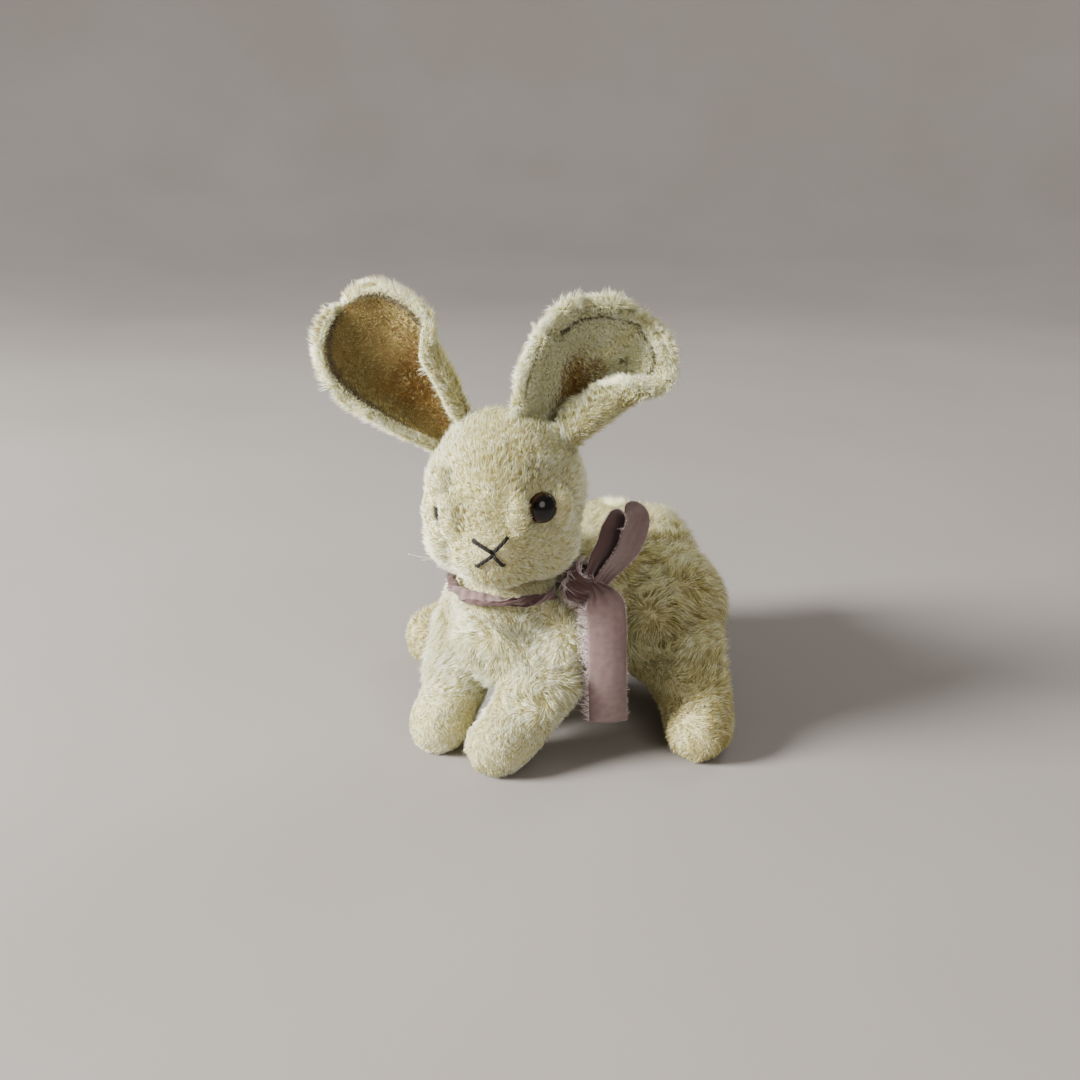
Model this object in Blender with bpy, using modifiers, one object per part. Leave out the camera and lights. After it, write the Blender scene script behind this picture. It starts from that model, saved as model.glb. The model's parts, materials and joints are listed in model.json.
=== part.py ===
"""Stuffed mohair bunny on all fours, with a disc-jointed head and a ribbon bow.

Dimensions are in millimetres and are turned into metres by MM. While it is modelled, the
bunny faces -Y, its left side is +X, and its soles stand on z = 0. At the end one empty
carries the whole toy, so that the middle of its underside is at the world's origin.
"""

import math

import bmesh
import bpy
from mathutils import Matrix, Vector
from mathutils.bvhtree import BVHTree

MM = 0.001

# Driving dimensions
GAP = 0.3                    # between any two pieces that touch
CLOTH = 1.3                  # mohair cloth with its pile pressed flat
STUFFING_DEPTH = CLOTH + 0.5  # from the toy's surface to the stuffing
NECK_AXIS = (0.5, 18.5)      # x and y of the head's swivel axis
NECK_Z = 49.4                # halfway between the body and the head
NECK_HALF_GAP = 0.35
HEAD_TURN = math.radians(27)  # the head looks to its left of the body
DISC_RADIUS, DISC_THICKNESS = 9.5, 2.0
WASHER_RADIUS, WASHER_THICKNESS, WASHER_HOLE = 4.6, 0.7, 1.6
PIN_WIRE, PIN_LEG_X, PIN_EYE = 0.5, 0.68, 1.7
EYE_RADIUS, EYE_DEPTH = 3.9, 2.6
THREAD = 0.42                # radius of the embroidery floss
STITCH_STEPS = 5             # straight lengths in half a stitch
RIBBON_WIDTH, RIBBON_THICKNESS = 10.0, 0.7
BAND_RADIUS = 15.9           # of the ribbon's scrunched turn round the neck
BAND_HALF_WIDTH, BAND_HALF_HEIGHT = 1.1, 2.2
BAND_Z = NECK_Z - 1.0
BAND_CLEARANCE = 1.3         # of the groove that the ribbon presses into the plush

# Detail of the soft surfaces
VOXEL = 1.1
SMOOTH_PASSES = 14
SNAP = 0.4                   # points this near a flat cut are pulled onto it
BODY_FACES, HEAD_FACES, TAIL_FACES = 1150, 900, 120

# Soft shapes: ellipsoids as (centre, half-sizes), limbs as stations of (centre, radius)
BODY_BLOBS = [
    ((0, 24, 33), (18.5, 18.5, 19)),
    ((0.5, 18.5, 41), (14.5, 14.5, 12)),
    ((0, 44, 34), (20, 21, 17.5)),
    ((0, 64, 33.5), (28, 30, 22)),
    ((24, 63, 26.5), (14.5, 20, 19.5)),
    ((-24, 63, 26.5), (14.5, 20, 19.5)),
]
FRONT_LEG = [((14, 25, 34), 11), ((15, 17, 23), 9), ((12, 8, 11.5), 8.2), ((10, 0.5, 6.9), 8.2)]
HIND_LEG = [((31, 58, 20), 12), ((39, 52, 13), 10.2), ((46, 45, 8), 9), ((49, 40, 7), 8.3)]
HEAD_BLOBS = [
    ((0, -4, 23), (20, 20, 21)),
    ((0, -13, 14), (13, 13.5, 12.5)),
    ((9, -9, 13.5), (10.5, 11, 10.5)),
    ((-9, -9, 13.5), (10.5, 11, 10.5)),
    ((0, 0, 6), (14, 14, 9)),
]
TAIL = ((0, 95.5, 37), (7.2, 8, 8.2))

FACE_CENTRE = Vector((0, -4, 21.5))  # middle of the head, above the neck in the head's frame
# Each eye: how far round the head and how high it looks, in degrees, and how far its middle
# stands out of the plush. The right one is sewn lower and deeper.
EYES = {"left": (39, 9, 0.2), "right": (-43, 0, -0.9)}
EYE_WIRE = 0.4
GUSSET_HALF_WIDTH = 6.5
NOSE_CENTRE = (1.4, 14.5)              # x and height of the crossing of the nose and mouth
# Each stitch runs through the crossing, from one end to the other, as x and height from it
STITCHES = {
    "nose_stitches": ((-5.2, 2.9), (3.4, 3.8)),
    "mouth_stitches": ((-4.7, -4.1), (2.6, -3.4)),
}
WHISKER_TURN, WHISKER_LIFT = math.radians(-58), math.radians(-38)
WHISKER_WAY, WHISKER_LENGTH, WHISKER_RADIUS = Vector((-0.93, -0.33, 0.1)), 8.0, 0.2
# Each ear: where it is sewn on, how far it leans out and turns, its size, how far its tip
# hangs forward, the share of its width left at the base, and how open its inner edge is
EARS = {
    "left": {"base": (9.5, 3, 39.5), "lean": 39, "turn": 10, "length": 39, "half_width": 22,
             "nod": 6, "gather": 0.58, "spread": 0.78},
    "right": {"base": (-14, 2, 36), "lean": -41, "turn": 14, "length": 44, "half_width": 20.5,
              "nod": 0, "gather": 0.42, "spread": 1.0},
}

# The bow, on the toy's left shoulder: the knot, then each length of ribbon by the points it
# runs through and the direction of its width
KNOT, KNOT_SIZES, KNOT_CLEARANCE = (22.5, 20, 50), (4.8, 5.2, 5.2), 0.4
KNOT_SWINGS = (0, 6, 12)               # degrees of the head's turn that the knot stays clear of
BOW = {
    "ribbon_loop": ([(24.5, 21.5, 54), (26.6, 24.3, 61.5), (28.2, 26.5, 66.8), (31, 28.2, 69.4),
                     (33.6, 29.3, 66.8), (32.8, 27.6, 59), (27, 22.8, 51)], (-0.01, 1, 0)),
    "ribbon_tail_long": ([(29, 21, 49), (30.6, 20.5, 44), (31.4, 20.6, 30), (31.8, 21, 12.5)],
                         (0.8, 0.6, 0)),
    "ribbon_tail_short": ([(26, 26, 47), (28, 27.5, 42), (29, 28, 31)], (-0.6, 0.8, 0)),
}

LOOK = {  # colour, roughness, metallic
    "mohair": ((0.72, 0.64, 0.44), 0.95, 0.0),
    "ear_plush": ((0.66, 0.52, 0.33), 0.95, 0.0),
    "wood_wool": ((0.62, 0.47, 0.25), 0.9, 0.0),
    "cardboard": ((0.42, 0.3, 0.19), 0.9, 0.0),
    "steel": ((0.55, 0.55, 0.54), 0.35, 1.0),
    "eye_glass": ((0.05, 0.018, 0.008), 0.05, 0.0),
    "floss": ((0.02, 0.017, 0.016), 0.7, 0.0),
    "whisker": ((0.85, 0.83, 0.78), 0.4, 0.0),
    "ribbon": ((0.36, 0.22, 0.24), 0.7, 0.0),
}


# Scene and small helpers

def clear_scene():
    for item in list(bpy.data.objects):
        bpy.data.objects.remove(item, do_unlink=True)


def new_collection(name):
    made = bpy.data.collections.new(name)
    bpy.context.scene.collection.children.link(made)
    return made


def new_material(name):
    colour, roughness, metallic = LOOK[name]
    material = bpy.data.materials.new(name)
    material.use_nodes = True
    shader = material.node_tree.nodes["Principled BSDF"]
    shader.inputs["Base Color"].default_value = (*colour, 1.0)
    shader.inputs["Roughness"].default_value = roughness
    shader.inputs["Metallic"].default_value = metallic
    return material


def new_object(name, mesh, collection):
    made = bpy.data.objects.new(name, mesh)
    collection.objects.link(made)
    return made


def helper(name, mesh):
    """An object that shapes others and is no piece of the toy itself."""
    made = new_object(name, mesh, helpers)
    made.hide_render = True
    made.display_type = "WIRE"
    return made


def part(name, mesh, look, parent):
    made = new_object(name, mesh, bunny)
    mesh.materials.clear()
    mesh.materials.append(materials[look])
    mesh.shade_smooth()
    mesh.set_sharp_from_angle(angle=math.radians(50))
    made.parent = parent
    return made


def mesh_of(obj):
    """The object's mesh with its modifiers applied."""
    bpy.context.view_layer.update()
    return bpy.data.meshes.new_from_object(obj.evaluated_get(bpy.context.evaluated_depsgraph_get()))


def from_bmesh(name, bm):
    bmesh.ops.recalc_face_normals(bm, faces=bm.faces)
    mesh = bpy.data.meshes.new(name)
    bm.to_mesh(mesh)
    bm.free()
    return mesh


def ellipsoid(name, centre, half_sizes, turn=None, segments=20):
    bm = bmesh.new()
    bmesh.ops.create_uvsphere(bm, u_segments=segments, v_segments=segments // 2, radius=MM)
    place = Matrix.Translation(Vector(centre) * MM) @ (turn or Matrix.Identity(4))
    bmesh.ops.transform(bm, matrix=place @ Matrix.Diagonal((*half_sizes, 1)), verts=bm.verts)
    return from_bmesh(name, bm)


def box(name, low, high):
    low, high = Vector(low), Vector(high)
    bm = bmesh.new()
    bmesh.ops.create_cube(bm, size=MM)
    place = Matrix.Translation((low + high) / 2 * MM) @ Matrix.Diagonal((*(high - low), 1))
    bmesh.ops.transform(bm, matrix=place, verts=bm.verts)
    return from_bmesh(name, bm)


def cylinder(name, radius, low_z, high_z, axis=(0, 0), segments=28):
    bm = bmesh.new()
    place = Matrix.Translation(Vector((*axis, (low_z + high_z) / 2)) * MM)
    bmesh.ops.create_cone(bm, cap_ends=True, segments=segments, radius1=radius * MM,
                          radius2=radius * MM, depth=(high_z - low_z) * MM, matrix=place)
    return from_bmesh(name, bm)


def boolean(mesh, operation, *tools):
    """The mesh cut by, joined with or kept inside each tool in turn."""
    work = helper("boolean_work", mesh)
    for index, tool in enumerate(tools):
        cutter = helper(f"boolean_tool_{index}", tool)
        step = work.modifiers.new(f"step_{index}", "BOOLEAN")
        step.operation = operation
        step.object = cutter
    made = mesh_of(work)
    for used in [work, *(step.object for step in work.modifiers)]:
        bpy.data.objects.remove(used, do_unlink=True)
    return made


def modified(mesh, kind, **settings):
    work = helper("modifier_work", mesh)
    modifier = work.modifiers.new(kind.lower(), kind)
    for key, value in settings.items():
        setattr(modifier, key, value)
    made = mesh_of(work)
    bpy.data.objects.remove(work, do_unlink=True)
    return made


def offset(mesh, distance):
    """The closed surface moved along its normals: inward where distance is negative."""
    return modified(mesh, "DISPLACE", strength=distance * MM, mid_level=0.0)


def tube(name, points, radius, closed=False, sides=2):
    """A wire or thread along points, as a closed mesh."""
    curve = bpy.data.curves.new(name, "CURVE")
    curve.dimensions = "3D"
    curve.bevel_depth = radius * MM
    curve.bevel_resolution = sides
    curve.use_fill_caps = True
    spline = curve.splines.new("POLY")
    spline.points.add(len(points) - 1)
    for target, point in zip(spline.points, points):
        target.co = (*(Vector(point) * MM), 1)
    spline.use_cyclic_u = closed
    work = helper(name + "_path", curve)
    mesh = mesh_of(work)
    bpy.data.objects.remove(work, do_unlink=True)
    bm = bmesh.new()
    bm.from_mesh(mesh)
    bmesh.ops.remove_doubles(bm, verts=bm.verts, dist=1e-6)
    return from_bmesh(name, bm)


def smooth_path(points, steps=8):
    """Points of a Catmull-Rom curve through the given ones."""
    points = [Vector(p) for p in points]
    ends = [2 * points[0] - points[1], *points, 2 * points[-1] - points[-2]]
    path = []
    for a, b, c, d in zip(ends, ends[1:], ends[2:], ends[3:]):
        for step in range(steps):
            t = step / steps
            path.append(0.5 * (2 * b + (c - a) * t + (2 * a - 5 * b + 4 * c - d) * t * t
                               + (3 * b - a - 3 * c + d) * t ** 3))
    return [*path, points[-1]]


# Soft shapes

def limb(stations, side, spacing=1.5):
    """Spheres strung close together from one station to the next, as (centre, half-sizes)."""
    balls = []
    for (start, start_radius), (end, end_radius) in zip(stations, stations[1:]):
        start, end = Vector(start), Vector(end)
        count = max(2, round((end - start).length / spacing))
        for index in range(count + 1):
            share = index / count
            centre = start.lerp(end, share)
            radius = start_radius + (end_radius - start_radius) * share
            balls.append(((side * centre.x, centre.y, centre.z), (radius,) * 3))
    return balls


def melted(name, blobs, groove=None):
    """One smooth closed surface round all the blobs, with a groove pressed into it."""
    joined = bmesh.new()
    for index, (centre, half_sizes) in enumerate(blobs):
        ball = ellipsoid(f"{name}_{index}", centre, half_sizes)
        joined.from_mesh(ball)
        bpy.data.meshes.remove(ball)
    mesh = bpy.data.meshes.new(name)
    joined.to_mesh(mesh)
    joined.free()
    mesh = modified(mesh, "REMESH", mode="VOXEL", voxel_size=VOXEL * MM)
    if groove:
        mesh = boolean(mesh, "DIFFERENCE", groove)
        mesh = modified(mesh, "REMESH", mode="VOXEL", voxel_size=VOXEL * MM)
    return modified(mesh, "SMOOTH", factor=0.5, iterations=SMOOTH_PASSES)


def thinned(mesh, faces):
    """The surface with about that many triangles."""
    triangles = sum(len(face.vertices) - 2 for face in mesh.polygons)
    return modified(mesh, "DECIMATE", ratio=faces / triangles)


def trimmed(mesh, height, above):
    """The mesh cut flat at a height and capped, keeping what is above or below."""
    bm = bmesh.new()
    bm.from_mesh(mesh)
    bmesh.ops.bisect_plane(bm, geom=[*bm.verts, *bm.edges, *bm.faces], dist=SNAP * MM,
                           plane_co=(0, 0, height * MM), plane_no=(0, 0, 1), use_snap_center=True,
                           clear_inner=above, clear_outer=not above)
    rims = [edge for edge in bm.edges if edge.is_boundary]
    bmesh.ops.holes_fill(bm, edges=rims, sides=0)
    bmesh.ops.triangulate(bm, faces=[face for face in bm.faces if len(face.verts) > 4])
    return from_bmesh(mesh.name, bm)


def band_ring(axis, height, grown):
    """The ribbon's turn round the neck, or with grown the room it needs: a ring of oval section."""
    bm = bmesh.new()
    section = []
    for step in range(8):
        angle = math.tau * step / 8
        place = (BAND_RADIUS + (BAND_HALF_WIDTH + grown) * math.cos(angle), 0,
                 height + (BAND_HALF_HEIGHT + grown) * math.sin(angle))
        section.append(bm.verts.new(Vector(place) * MM))
    edges = [bm.edges.new(pair) for pair in zip(section, section[1:] + section[:1])]
    bmesh.ops.spin(bm, geom=[*section, *edges], axis=(0, 0, 1), cent=(0, 0, 0), dvec=(0, 0, 0),
                   angle=math.tau, steps=40, use_duplicate=False)
    bmesh.ops.remove_doubles(bm, verts=bm.verts, dist=1e-6)
    bmesh.ops.translate(bm, verts=bm.verts, vec=Vector((*axis, 0)) * MM)
    return from_bmesh("band_ring", bm)


def grid(name, rows):
    """An open sheet through rows of points."""
    bm = bmesh.new()
    made = [[bm.verts.new(Vector(point) * MM) for point in row] for row in rows]
    for low, high in zip(made, made[1:]):
        for a, b, c, d in zip(low, low[1:], high[1:], high):
            bm.faces.new((a, b, c, d))
    mesh = bpy.data.meshes.new(name)
    bm.to_mesh(mesh)
    bm.free()
    return mesh


def strip(name, path, across):
    """A length of the ribbon along a path, with its width along one direction."""
    half = Vector(across).normalized() * RIBBON_WIDTH / 2
    sheet = grid(name, [[point - half, point, point + half] for point in smooth_path(path, 6)])
    return modified(sheet, "SOLIDIFY", thickness=RIBBON_THICKNESS * MM, offset=0.0)


# The body

def head_place():
    return Matrix.Translation(Vector((*NECK_AXIS, NECK_Z)) * MM) @ Matrix.Rotation(HEAD_TURN, 4, "Z")


def placed(mesh, matrix):
    moved = mesh.copy()
    moved.transform(matrix)
    return moved


def belly_zone():
    """The region of the underside and the inner legs, inside the seams that bound it."""
    half = [(10.5, -25), (10.5, 19), (60, 25), (52, 33), (30, 55), (12, 80), (4, 95)]
    outline = [*half, *((-x, y) for x, y in reversed(half))]
    bm = bmesh.new()
    base = bm.faces.new([bm.verts.new(Vector((x, y, -5)) * MM) for x, y in outline])
    made = bmesh.ops.extrude_face_region(bm, geom=[base])["geom"]
    top = [item for item in made if isinstance(item, bmesh.types.BMVert)]
    bmesh.ops.translate(bm, verts=top, vec=Vector((0, 0, 25)) * MM)
    return from_bmesh("belly_zone", bm)


def side_box(side, gap=GAP):
    far = 200 * side
    near = gap / 2 * side
    return box("side_box", (min(near, far), -200, -200), (max(near, far), 200, 200))


def body_surface():
    blobs = list(BODY_BLOBS)
    for side in (1, -1):
        blobs += limb(FRONT_LEG, side) + limb(HIND_LEG, side)
    surface = thinned(melted("body", blobs, band_ring(NECK_AXIS, BAND_Z, BAND_CLEARANCE)), BODY_FACES)
    return trimmed(trimmed(surface, 0, above=True), NECK_Z - NECK_HALF_GAP, above=False)


def pin_hole(axis, neck_height):
    return cylinder("pin_hole", WASHER_HOLE, neck_height - 10, neck_height + 10, axis, segments=20)


def make_body(surface, parent):
    shell = boolean(surface.copy(), "DIFFERENCE", offset(surface, -CLOTH),
                    pin_hole(NECK_AXIS, NECK_Z))
    zone = belly_zone()
    gusset = boolean(shell.copy(), "INTERSECT", zone.copy())
    part("belly_gusset", gusset, "mohair", parent)
    upper = boolean(shell, "DIFFERENCE", offset(zone, GAP))
    for name, side in (("left", 1), ("right", -1)):
        panel = boolean(upper.copy(), "INTERSECT", side_box(side))
        part(f"body_side_{name}", panel, "mohair", parent)

    disc_top = NECK_Z - NECK_HALF_GAP - CLOTH - 2 * GAP
    disc_bottom = disc_top - DISC_THICKNESS
    washer_bottom = disc_bottom - GAP - WASHER_THICKNESS
    pockets = (cylinder("disc_pocket", DISC_RADIUS + GAP, disc_bottom - GAP, NECK_Z + 10, NECK_AXIS),
               cylinder("washer_pocket", WASHER_RADIUS + 2 * GAP, washer_bottom - 4 * PIN_WIRE,
                        NECK_Z + 10, NECK_AXIS))
    stuffing = boolean(offset(surface, -STUFFING_DEPTH), "DIFFERENCE", *pockets)
    part("body_stuffing", stuffing, "wood_wool", parent)
    add_disc("body", disc_bottom, washer_bottom, NECK_AXIS, NECK_Z, parent)
    return washer_bottom


def add_disc(name, disc_low, washer_low, axis, neck_height, parent):
    hole = pin_hole(axis, neck_height)
    disc = cylinder("disc", DISC_RADIUS, disc_low, disc_low + DISC_THICKNESS, axis)
    part(f"{name}_disc", boolean(disc, "DIFFERENCE", hole.copy()), "cardboard", parent)
    washer = cylinder("washer", WASHER_RADIUS, washer_low, washer_low + WASHER_THICKNESS, axis, 20)
    part(f"{name}_washer", boolean(washer, "DIFFERENCE", hole), "steel", parent)


def make_pin(leg_top, eye_low, parent):
    """The split pin: an eye above the head's washer, and two legs bent out under the body's."""
    bend_z = leg_top - GAP - PIN_WIRE
    leg = [(4.2, bend_z), (2.0, bend_z), (1.0, bend_z + 0.25), (PIN_LEG_X, bend_z + 0.9)]
    eye_z = eye_low + GAP + PIN_WIRE + PIN_EYE
    start = math.asin(PIN_LEG_X / PIN_EYE)
    eye = []
    for step in range(15):
        angle = start + (math.tau - 2 * start) * step / 14
        eye.append((PIN_EYE * math.sin(angle), eye_z - PIN_EYE * math.cos(angle)))
    flat = [*leg, *eye, *((-x, z) for x, z in reversed(leg))]
    path = [(NECK_AXIS[0] + x, NECK_AXIS[1], z) for x, z in flat]
    part("neck_pin", tube("neck_pin", path, PIN_WIRE), "steel", parent)
    return eye_z + PIN_EYE + PIN_WIRE


def make_tail(surface, parent):
    centre, half_sizes = TAIL
    whole = thinned(melted("tail", [(centre, half_sizes)]), TAIL_FACES)
    near = offset(surface, GAP)
    cover = boolean(whole.copy(), "DIFFERENCE", offset(whole, -CLOTH), near.copy())
    part("tail_cover", cover, "mohair", parent)
    stuffing = boolean(offset(whole, -CLOTH - GAP), "DIFFERENCE", near)
    part("tail_stuffing", stuffing, "wood_wool", parent)


# The head, in its own frame: the neck's axis is at x = y = 0 and the neck at z = 0

def face_direction(turn, lift):
    return Vector((math.sin(turn) * math.cos(lift), -math.cos(turn) * math.cos(lift), math.sin(lift)))


def surface_point(tree, origin, direction):
    """Where a line from outside first meets the surface, with the normal there, in millimetres."""
    place, normal, _, _ = tree.ray_cast(Vector(origin) * MM, Vector(direction))
    return place / MM, normal


def head_surface():
    groove = band_ring((0, 0), BAND_Z - NECK_Z, BAND_CLEARANCE)
    surface = thinned(melted("head", HEAD_BLOBS, groove), HEAD_FACES)
    return trimmed(surface, NECK_HALF_GAP, above=True)


def eye_places(tree):
    """Each eye's middle, with the rotation that turns +Z outward."""
    places = {}
    for name, (turn, lift, out) in EYES.items():
        outward = face_direction(math.radians(turn), math.radians(lift))
        place, _ = surface_point(tree, FACE_CENTRE + outward * 60, -outward)
        facing = outward.to_track_quat("Z", "Y").to_matrix().to_4x4()
        places[name] = (place + outward * out, facing)
    return places


def make_eyes(places, parent):
    neck = -EYE_DEPTH - EYE_WIRE + 0.05
    shank = [(-0.9, 0, neck), (-1.1, 0, neck - 1.65), (0, 0, neck - 3.65),
             (1.1, 0, neck - 1.65), (0.9, 0, neck)]
    for name, (place, facing) in places.items():
        eye = ellipsoid(f"eye_{name}", place, (EYE_RADIUS, EYE_RADIUS, EYE_DEPTH), facing)
        part(f"eye_{name}", eye, "eye_glass", parent)
        seat = Matrix.Translation(place * MM) @ facing
        wire = placed(tube("shank", smooth_path(shank, 4), EYE_WIRE), seat)
        part(f"eye_shank_{name}", wire, "steel", parent)


def eye_pockets(places):
    """Room for each eye, and behind it for its wire shank."""
    cuts = []
    for place, facing in places.values():
        room = (EYE_RADIUS + GAP, EYE_RADIUS + GAP, EYE_DEPTH + GAP)
        cuts.append(ellipsoid("socket", place, room, facing))
        seat = Matrix.Translation(place * MM) @ facing
        cuts.append(placed(cylinder("shank_room", 2.0, -EYE_DEPTH - 5, 0), seat))
    return cuts


def gusset_zone():
    """The strip from the nose over the crown to the nape, inside the two seams that bound it."""
    outline = [(-60, 16), (6, 16), (8, -5), (60, -5), (60, 80), (-60, 80)]
    bm = bmesh.new()
    side = bm.faces.new([bm.verts.new(Vector((-GUSSET_HALF_WIDTH, y, z)) * MM) for y, z in outline])
    made = bmesh.ops.extrude_face_region(bm, geom=[side])["geom"]
    far = [item for item in made if isinstance(item, bmesh.types.BMVert)]
    bmesh.ops.translate(bm, verts=far, vec=Vector((2 * GUSSET_HALF_WIDTH, 0, 0)) * MM)
    return from_bmesh("gusset_zone", bm)


def make_head(surface, places, pin_top, parent):
    sockets = eye_pockets(places)[::2]
    shell = boolean(surface.copy(), "DIFFERENCE", offset(surface, -CLOTH), pin_hole((0, 0), 0), *sockets)
    zone = gusset_zone()
    part("head_gusset", boolean(shell.copy(), "INTERSECT", zone.copy()), "mohair", parent)
    rest = boolean(shell, "DIFFERENCE", offset(zone, GAP))
    for name, side in (("left", 1), ("right", -1)):
        panel = boolean(rest.copy(), "INTERSECT", side_box(side))
        part(f"head_side_{name}", panel, "mohair", parent)

    disc_low = NECK_HALF_GAP + CLOTH + 2 * GAP
    washer_low = disc_low + DISC_THICKNESS + GAP
    pockets = (cylinder("disc_pocket", DISC_RADIUS + GAP, -10, washer_low),
               cylinder("washer_pocket", WASHER_RADIUS + GAP, -12, pin_top - NECK_Z + GAP))
    stuffing = boolean(offset(surface, -STUFFING_DEPTH), "DIFFERENCE", *pockets, *eye_pockets(places))
    part("head_stuffing", stuffing, "wood_wool", parent)
    add_disc("head", disc_low, washer_low, (0, 0), 0, parent)


def head_washer_top():
    return NECK_HALF_GAP + CLOTH + 2 * GAP + DISC_THICKNESS + GAP + WASHER_THICKNESS


def make_stitches(tree, parent):
    """The nose is a wide V and the mouth the same the other way up, so that they make an X."""
    apart = THREAD + GAP / 2
    for name, (start, end) in STITCHES.items():
        crossing = (0, math.copysign(apart, start[1]))
        start, crossing, end = Vector(start), Vector(crossing), Vector(end)
        line = [start.lerp(crossing, step / STITCH_STEPS) for step in range(STITCH_STEPS)]
        line += [crossing.lerp(end, step / STITCH_STEPS) for step in range(STITCH_STEPS + 1)]
        points = []
        for x, z in line:
            origin = (NOSE_CENTRE[0] + x, -60, NOSE_CENTRE[1] + z)
            place, normal = surface_point(tree, origin, (0, 1, 0))
            points.append(place + normal * (THREAD + GAP))
        part(name, tube(name, points, THREAD), "floss", parent)


def make_whisker(tree, parent):
    outward = face_direction(WHISKER_TURN, WHISKER_LIFT)
    root, _ = surface_point(tree, FACE_CENTRE + outward * 60, -outward)
    path = [root + WHISKER_WAY * (0.5 + WHISKER_LENGTH * t) + Vector((0, 0, 1.2 * t * t))
            for t in (0, 0.25, 0.5, 0.75, 1)]
    part("whisker", tube("whisker", path, WHISKER_RADIUS, sides=1), "whisker", parent)


# The ears: each is a lining and a back, two cupped leaves sewn together at the rim

def ear_half_width(along, ear):
    """Half the width of the flat leaf, from its gathered base to its round tip."""
    if along < 0.6:
        share = ear["gather"] + (1 - ear["gather"]) * math.sin(math.pi / 2 * along / 0.6)
    else:
        share = math.sqrt(1 - ((along - 0.6) / 0.4) ** 2)
    return ear["half_width"] * share


def ear_rows(ear, across=8, up=11):
    """The seam surface between lining and back: rolled at its base, open at its top."""
    rows = []
    for row in range(up):
        along = 0.998 * math.sin(math.pi / 2 * row / (up - 1))
        half_width = ear_half_width(along, ear)
        back = 3.0 * math.sin(math.pi * along) - ear["nod"] * along ** 3
        points = []
        for column in range(across + 1):
            place = 2 * column / across - 1
            curl = math.radians(115 - 52 * along) * (ear["spread"] if place < 0 else 1)
            radius = half_width / curl
            forward = radius * (1 - math.cos(curl * place))
            points.append((radius * math.sin(curl * place), back - forward, ear["length"] * along))
        rows.append(points)
    return rows


def make_ears(surface, parent):
    near = offset(surface, GAP)
    for side, ear in EARS.items():
        place = (Matrix.Translation(Vector(ear["base"]) * MM)
                 @ Matrix.Rotation(math.radians(ear["lean"]), 4, "Y")
                 @ Matrix.Rotation(math.radians(ear["turn"]), 4, "Z"))
        for piece, look, facing in (("lining", "ear_plush", 1), ("back", "mohair", -1)):
            seam = placed(grid(f"ear_{piece}", ear_rows(ear)), place)
            leaf = offset(seam, facing * GAP / 2)
            leaf = modified(leaf, "SOLIDIFY", thickness=CLOTH * MM, offset=float(facing))
            leaf = boolean(leaf, "DIFFERENCE", near.copy())
            part(f"ear_{piece}_{side}", leaf, look, parent)


# The ribbon

def make_ribbon(head, parent):
    band = band_ring(NECK_AXIS, BAND_Z, 0)
    part("ribbon_neckband", band.copy(), "ribbon", parent)
    knot = ellipsoid("ribbon_knot", KNOT, KNOT_SIZES, segments=16)
    room = ellipsoid("knot_room", KNOT, [size + KNOT_CLEARANCE for size in KNOT_SIZES], segments=16)
    in_the_way = [offset(band, GAP)]
    for turn in KNOT_SWINGS:
        swung = Matrix.Rotation(math.radians(turn), 4, "Z")
        in_the_way.append(placed(offset(head, 0.5), head_place() @ swung))
    part("ribbon_knot", boolean(knot, "DIFFERENCE", *in_the_way), "ribbon", parent)
    for name, (path, across) in BOW.items():
        length = boolean(strip(name, path, across), "DIFFERENCE", room.copy())
        part(name, length, "ribbon", parent)


# The whole toy

def stand_on_origin(root):
    """Moves the toy so that the middle of its underside is the world's origin."""
    bpy.context.view_layer.update()
    corners = [obj.matrix_world @ vert.co for obj in bunny.objects if obj.type == "MESH"
               for vert in obj.data.vertices]
    middle = [(min(c[axis] for c in corners) + max(c[axis] for c in corners)) / 2 for axis in (0, 1)]
    root.location = (-middle[0], -middle[1], -min(c.z for c in corners))


clear_scene()
bunny = new_collection("bunny")
helpers = new_collection("helpers")
materials = {name: new_material(name) for name in LOOK}

root = new_object("bunny_root", None, bunny)
head_pivot = new_object("head_pivot", None, bunny)
head_pivot.parent = root
head_pivot.matrix_local = head_place()

body = body_surface()
head = head_surface()
head_tree = BVHTree.FromPolygons([v.co for v in head.vertices], [p.vertices for p in head.polygons])
eyes = eye_places(head_tree)

body_washer_low = make_body(body, root)
pin_top = make_pin(body_washer_low, NECK_Z + head_washer_top(), root)
make_tail(body, root)
make_head(head, eyes, pin_top, head_pivot)
make_eyes(eyes, head_pivot)
make_stitches(head_tree, head_pivot)
make_whisker(head_tree, head_pivot)
make_ears(head, head_pivot)
make_ribbon(head, root)
stand_on_origin(root)
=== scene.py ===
"""The looks of the mohair bunny: its plush, fur, ears, glass eyes, stitches and frayed ribbon.

Shapes are worked out in millimetres in the toy's own frame, which is the CAD's modelling
frame: the bunny faces -Y, its left side is +X, and it stands on z = 0. ORIGIN carries them
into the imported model's frame. Surfaces are plain numpy arrays until new_piece makes objects.
"""

import json
import math
from collections import namedtuple
import bmesh
import bpy
import numpy as np
from mathutils import Matrix, Vector
from mathutils.bvhtree import BVHTree
from mathutils.kdtree import KDTree


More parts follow.
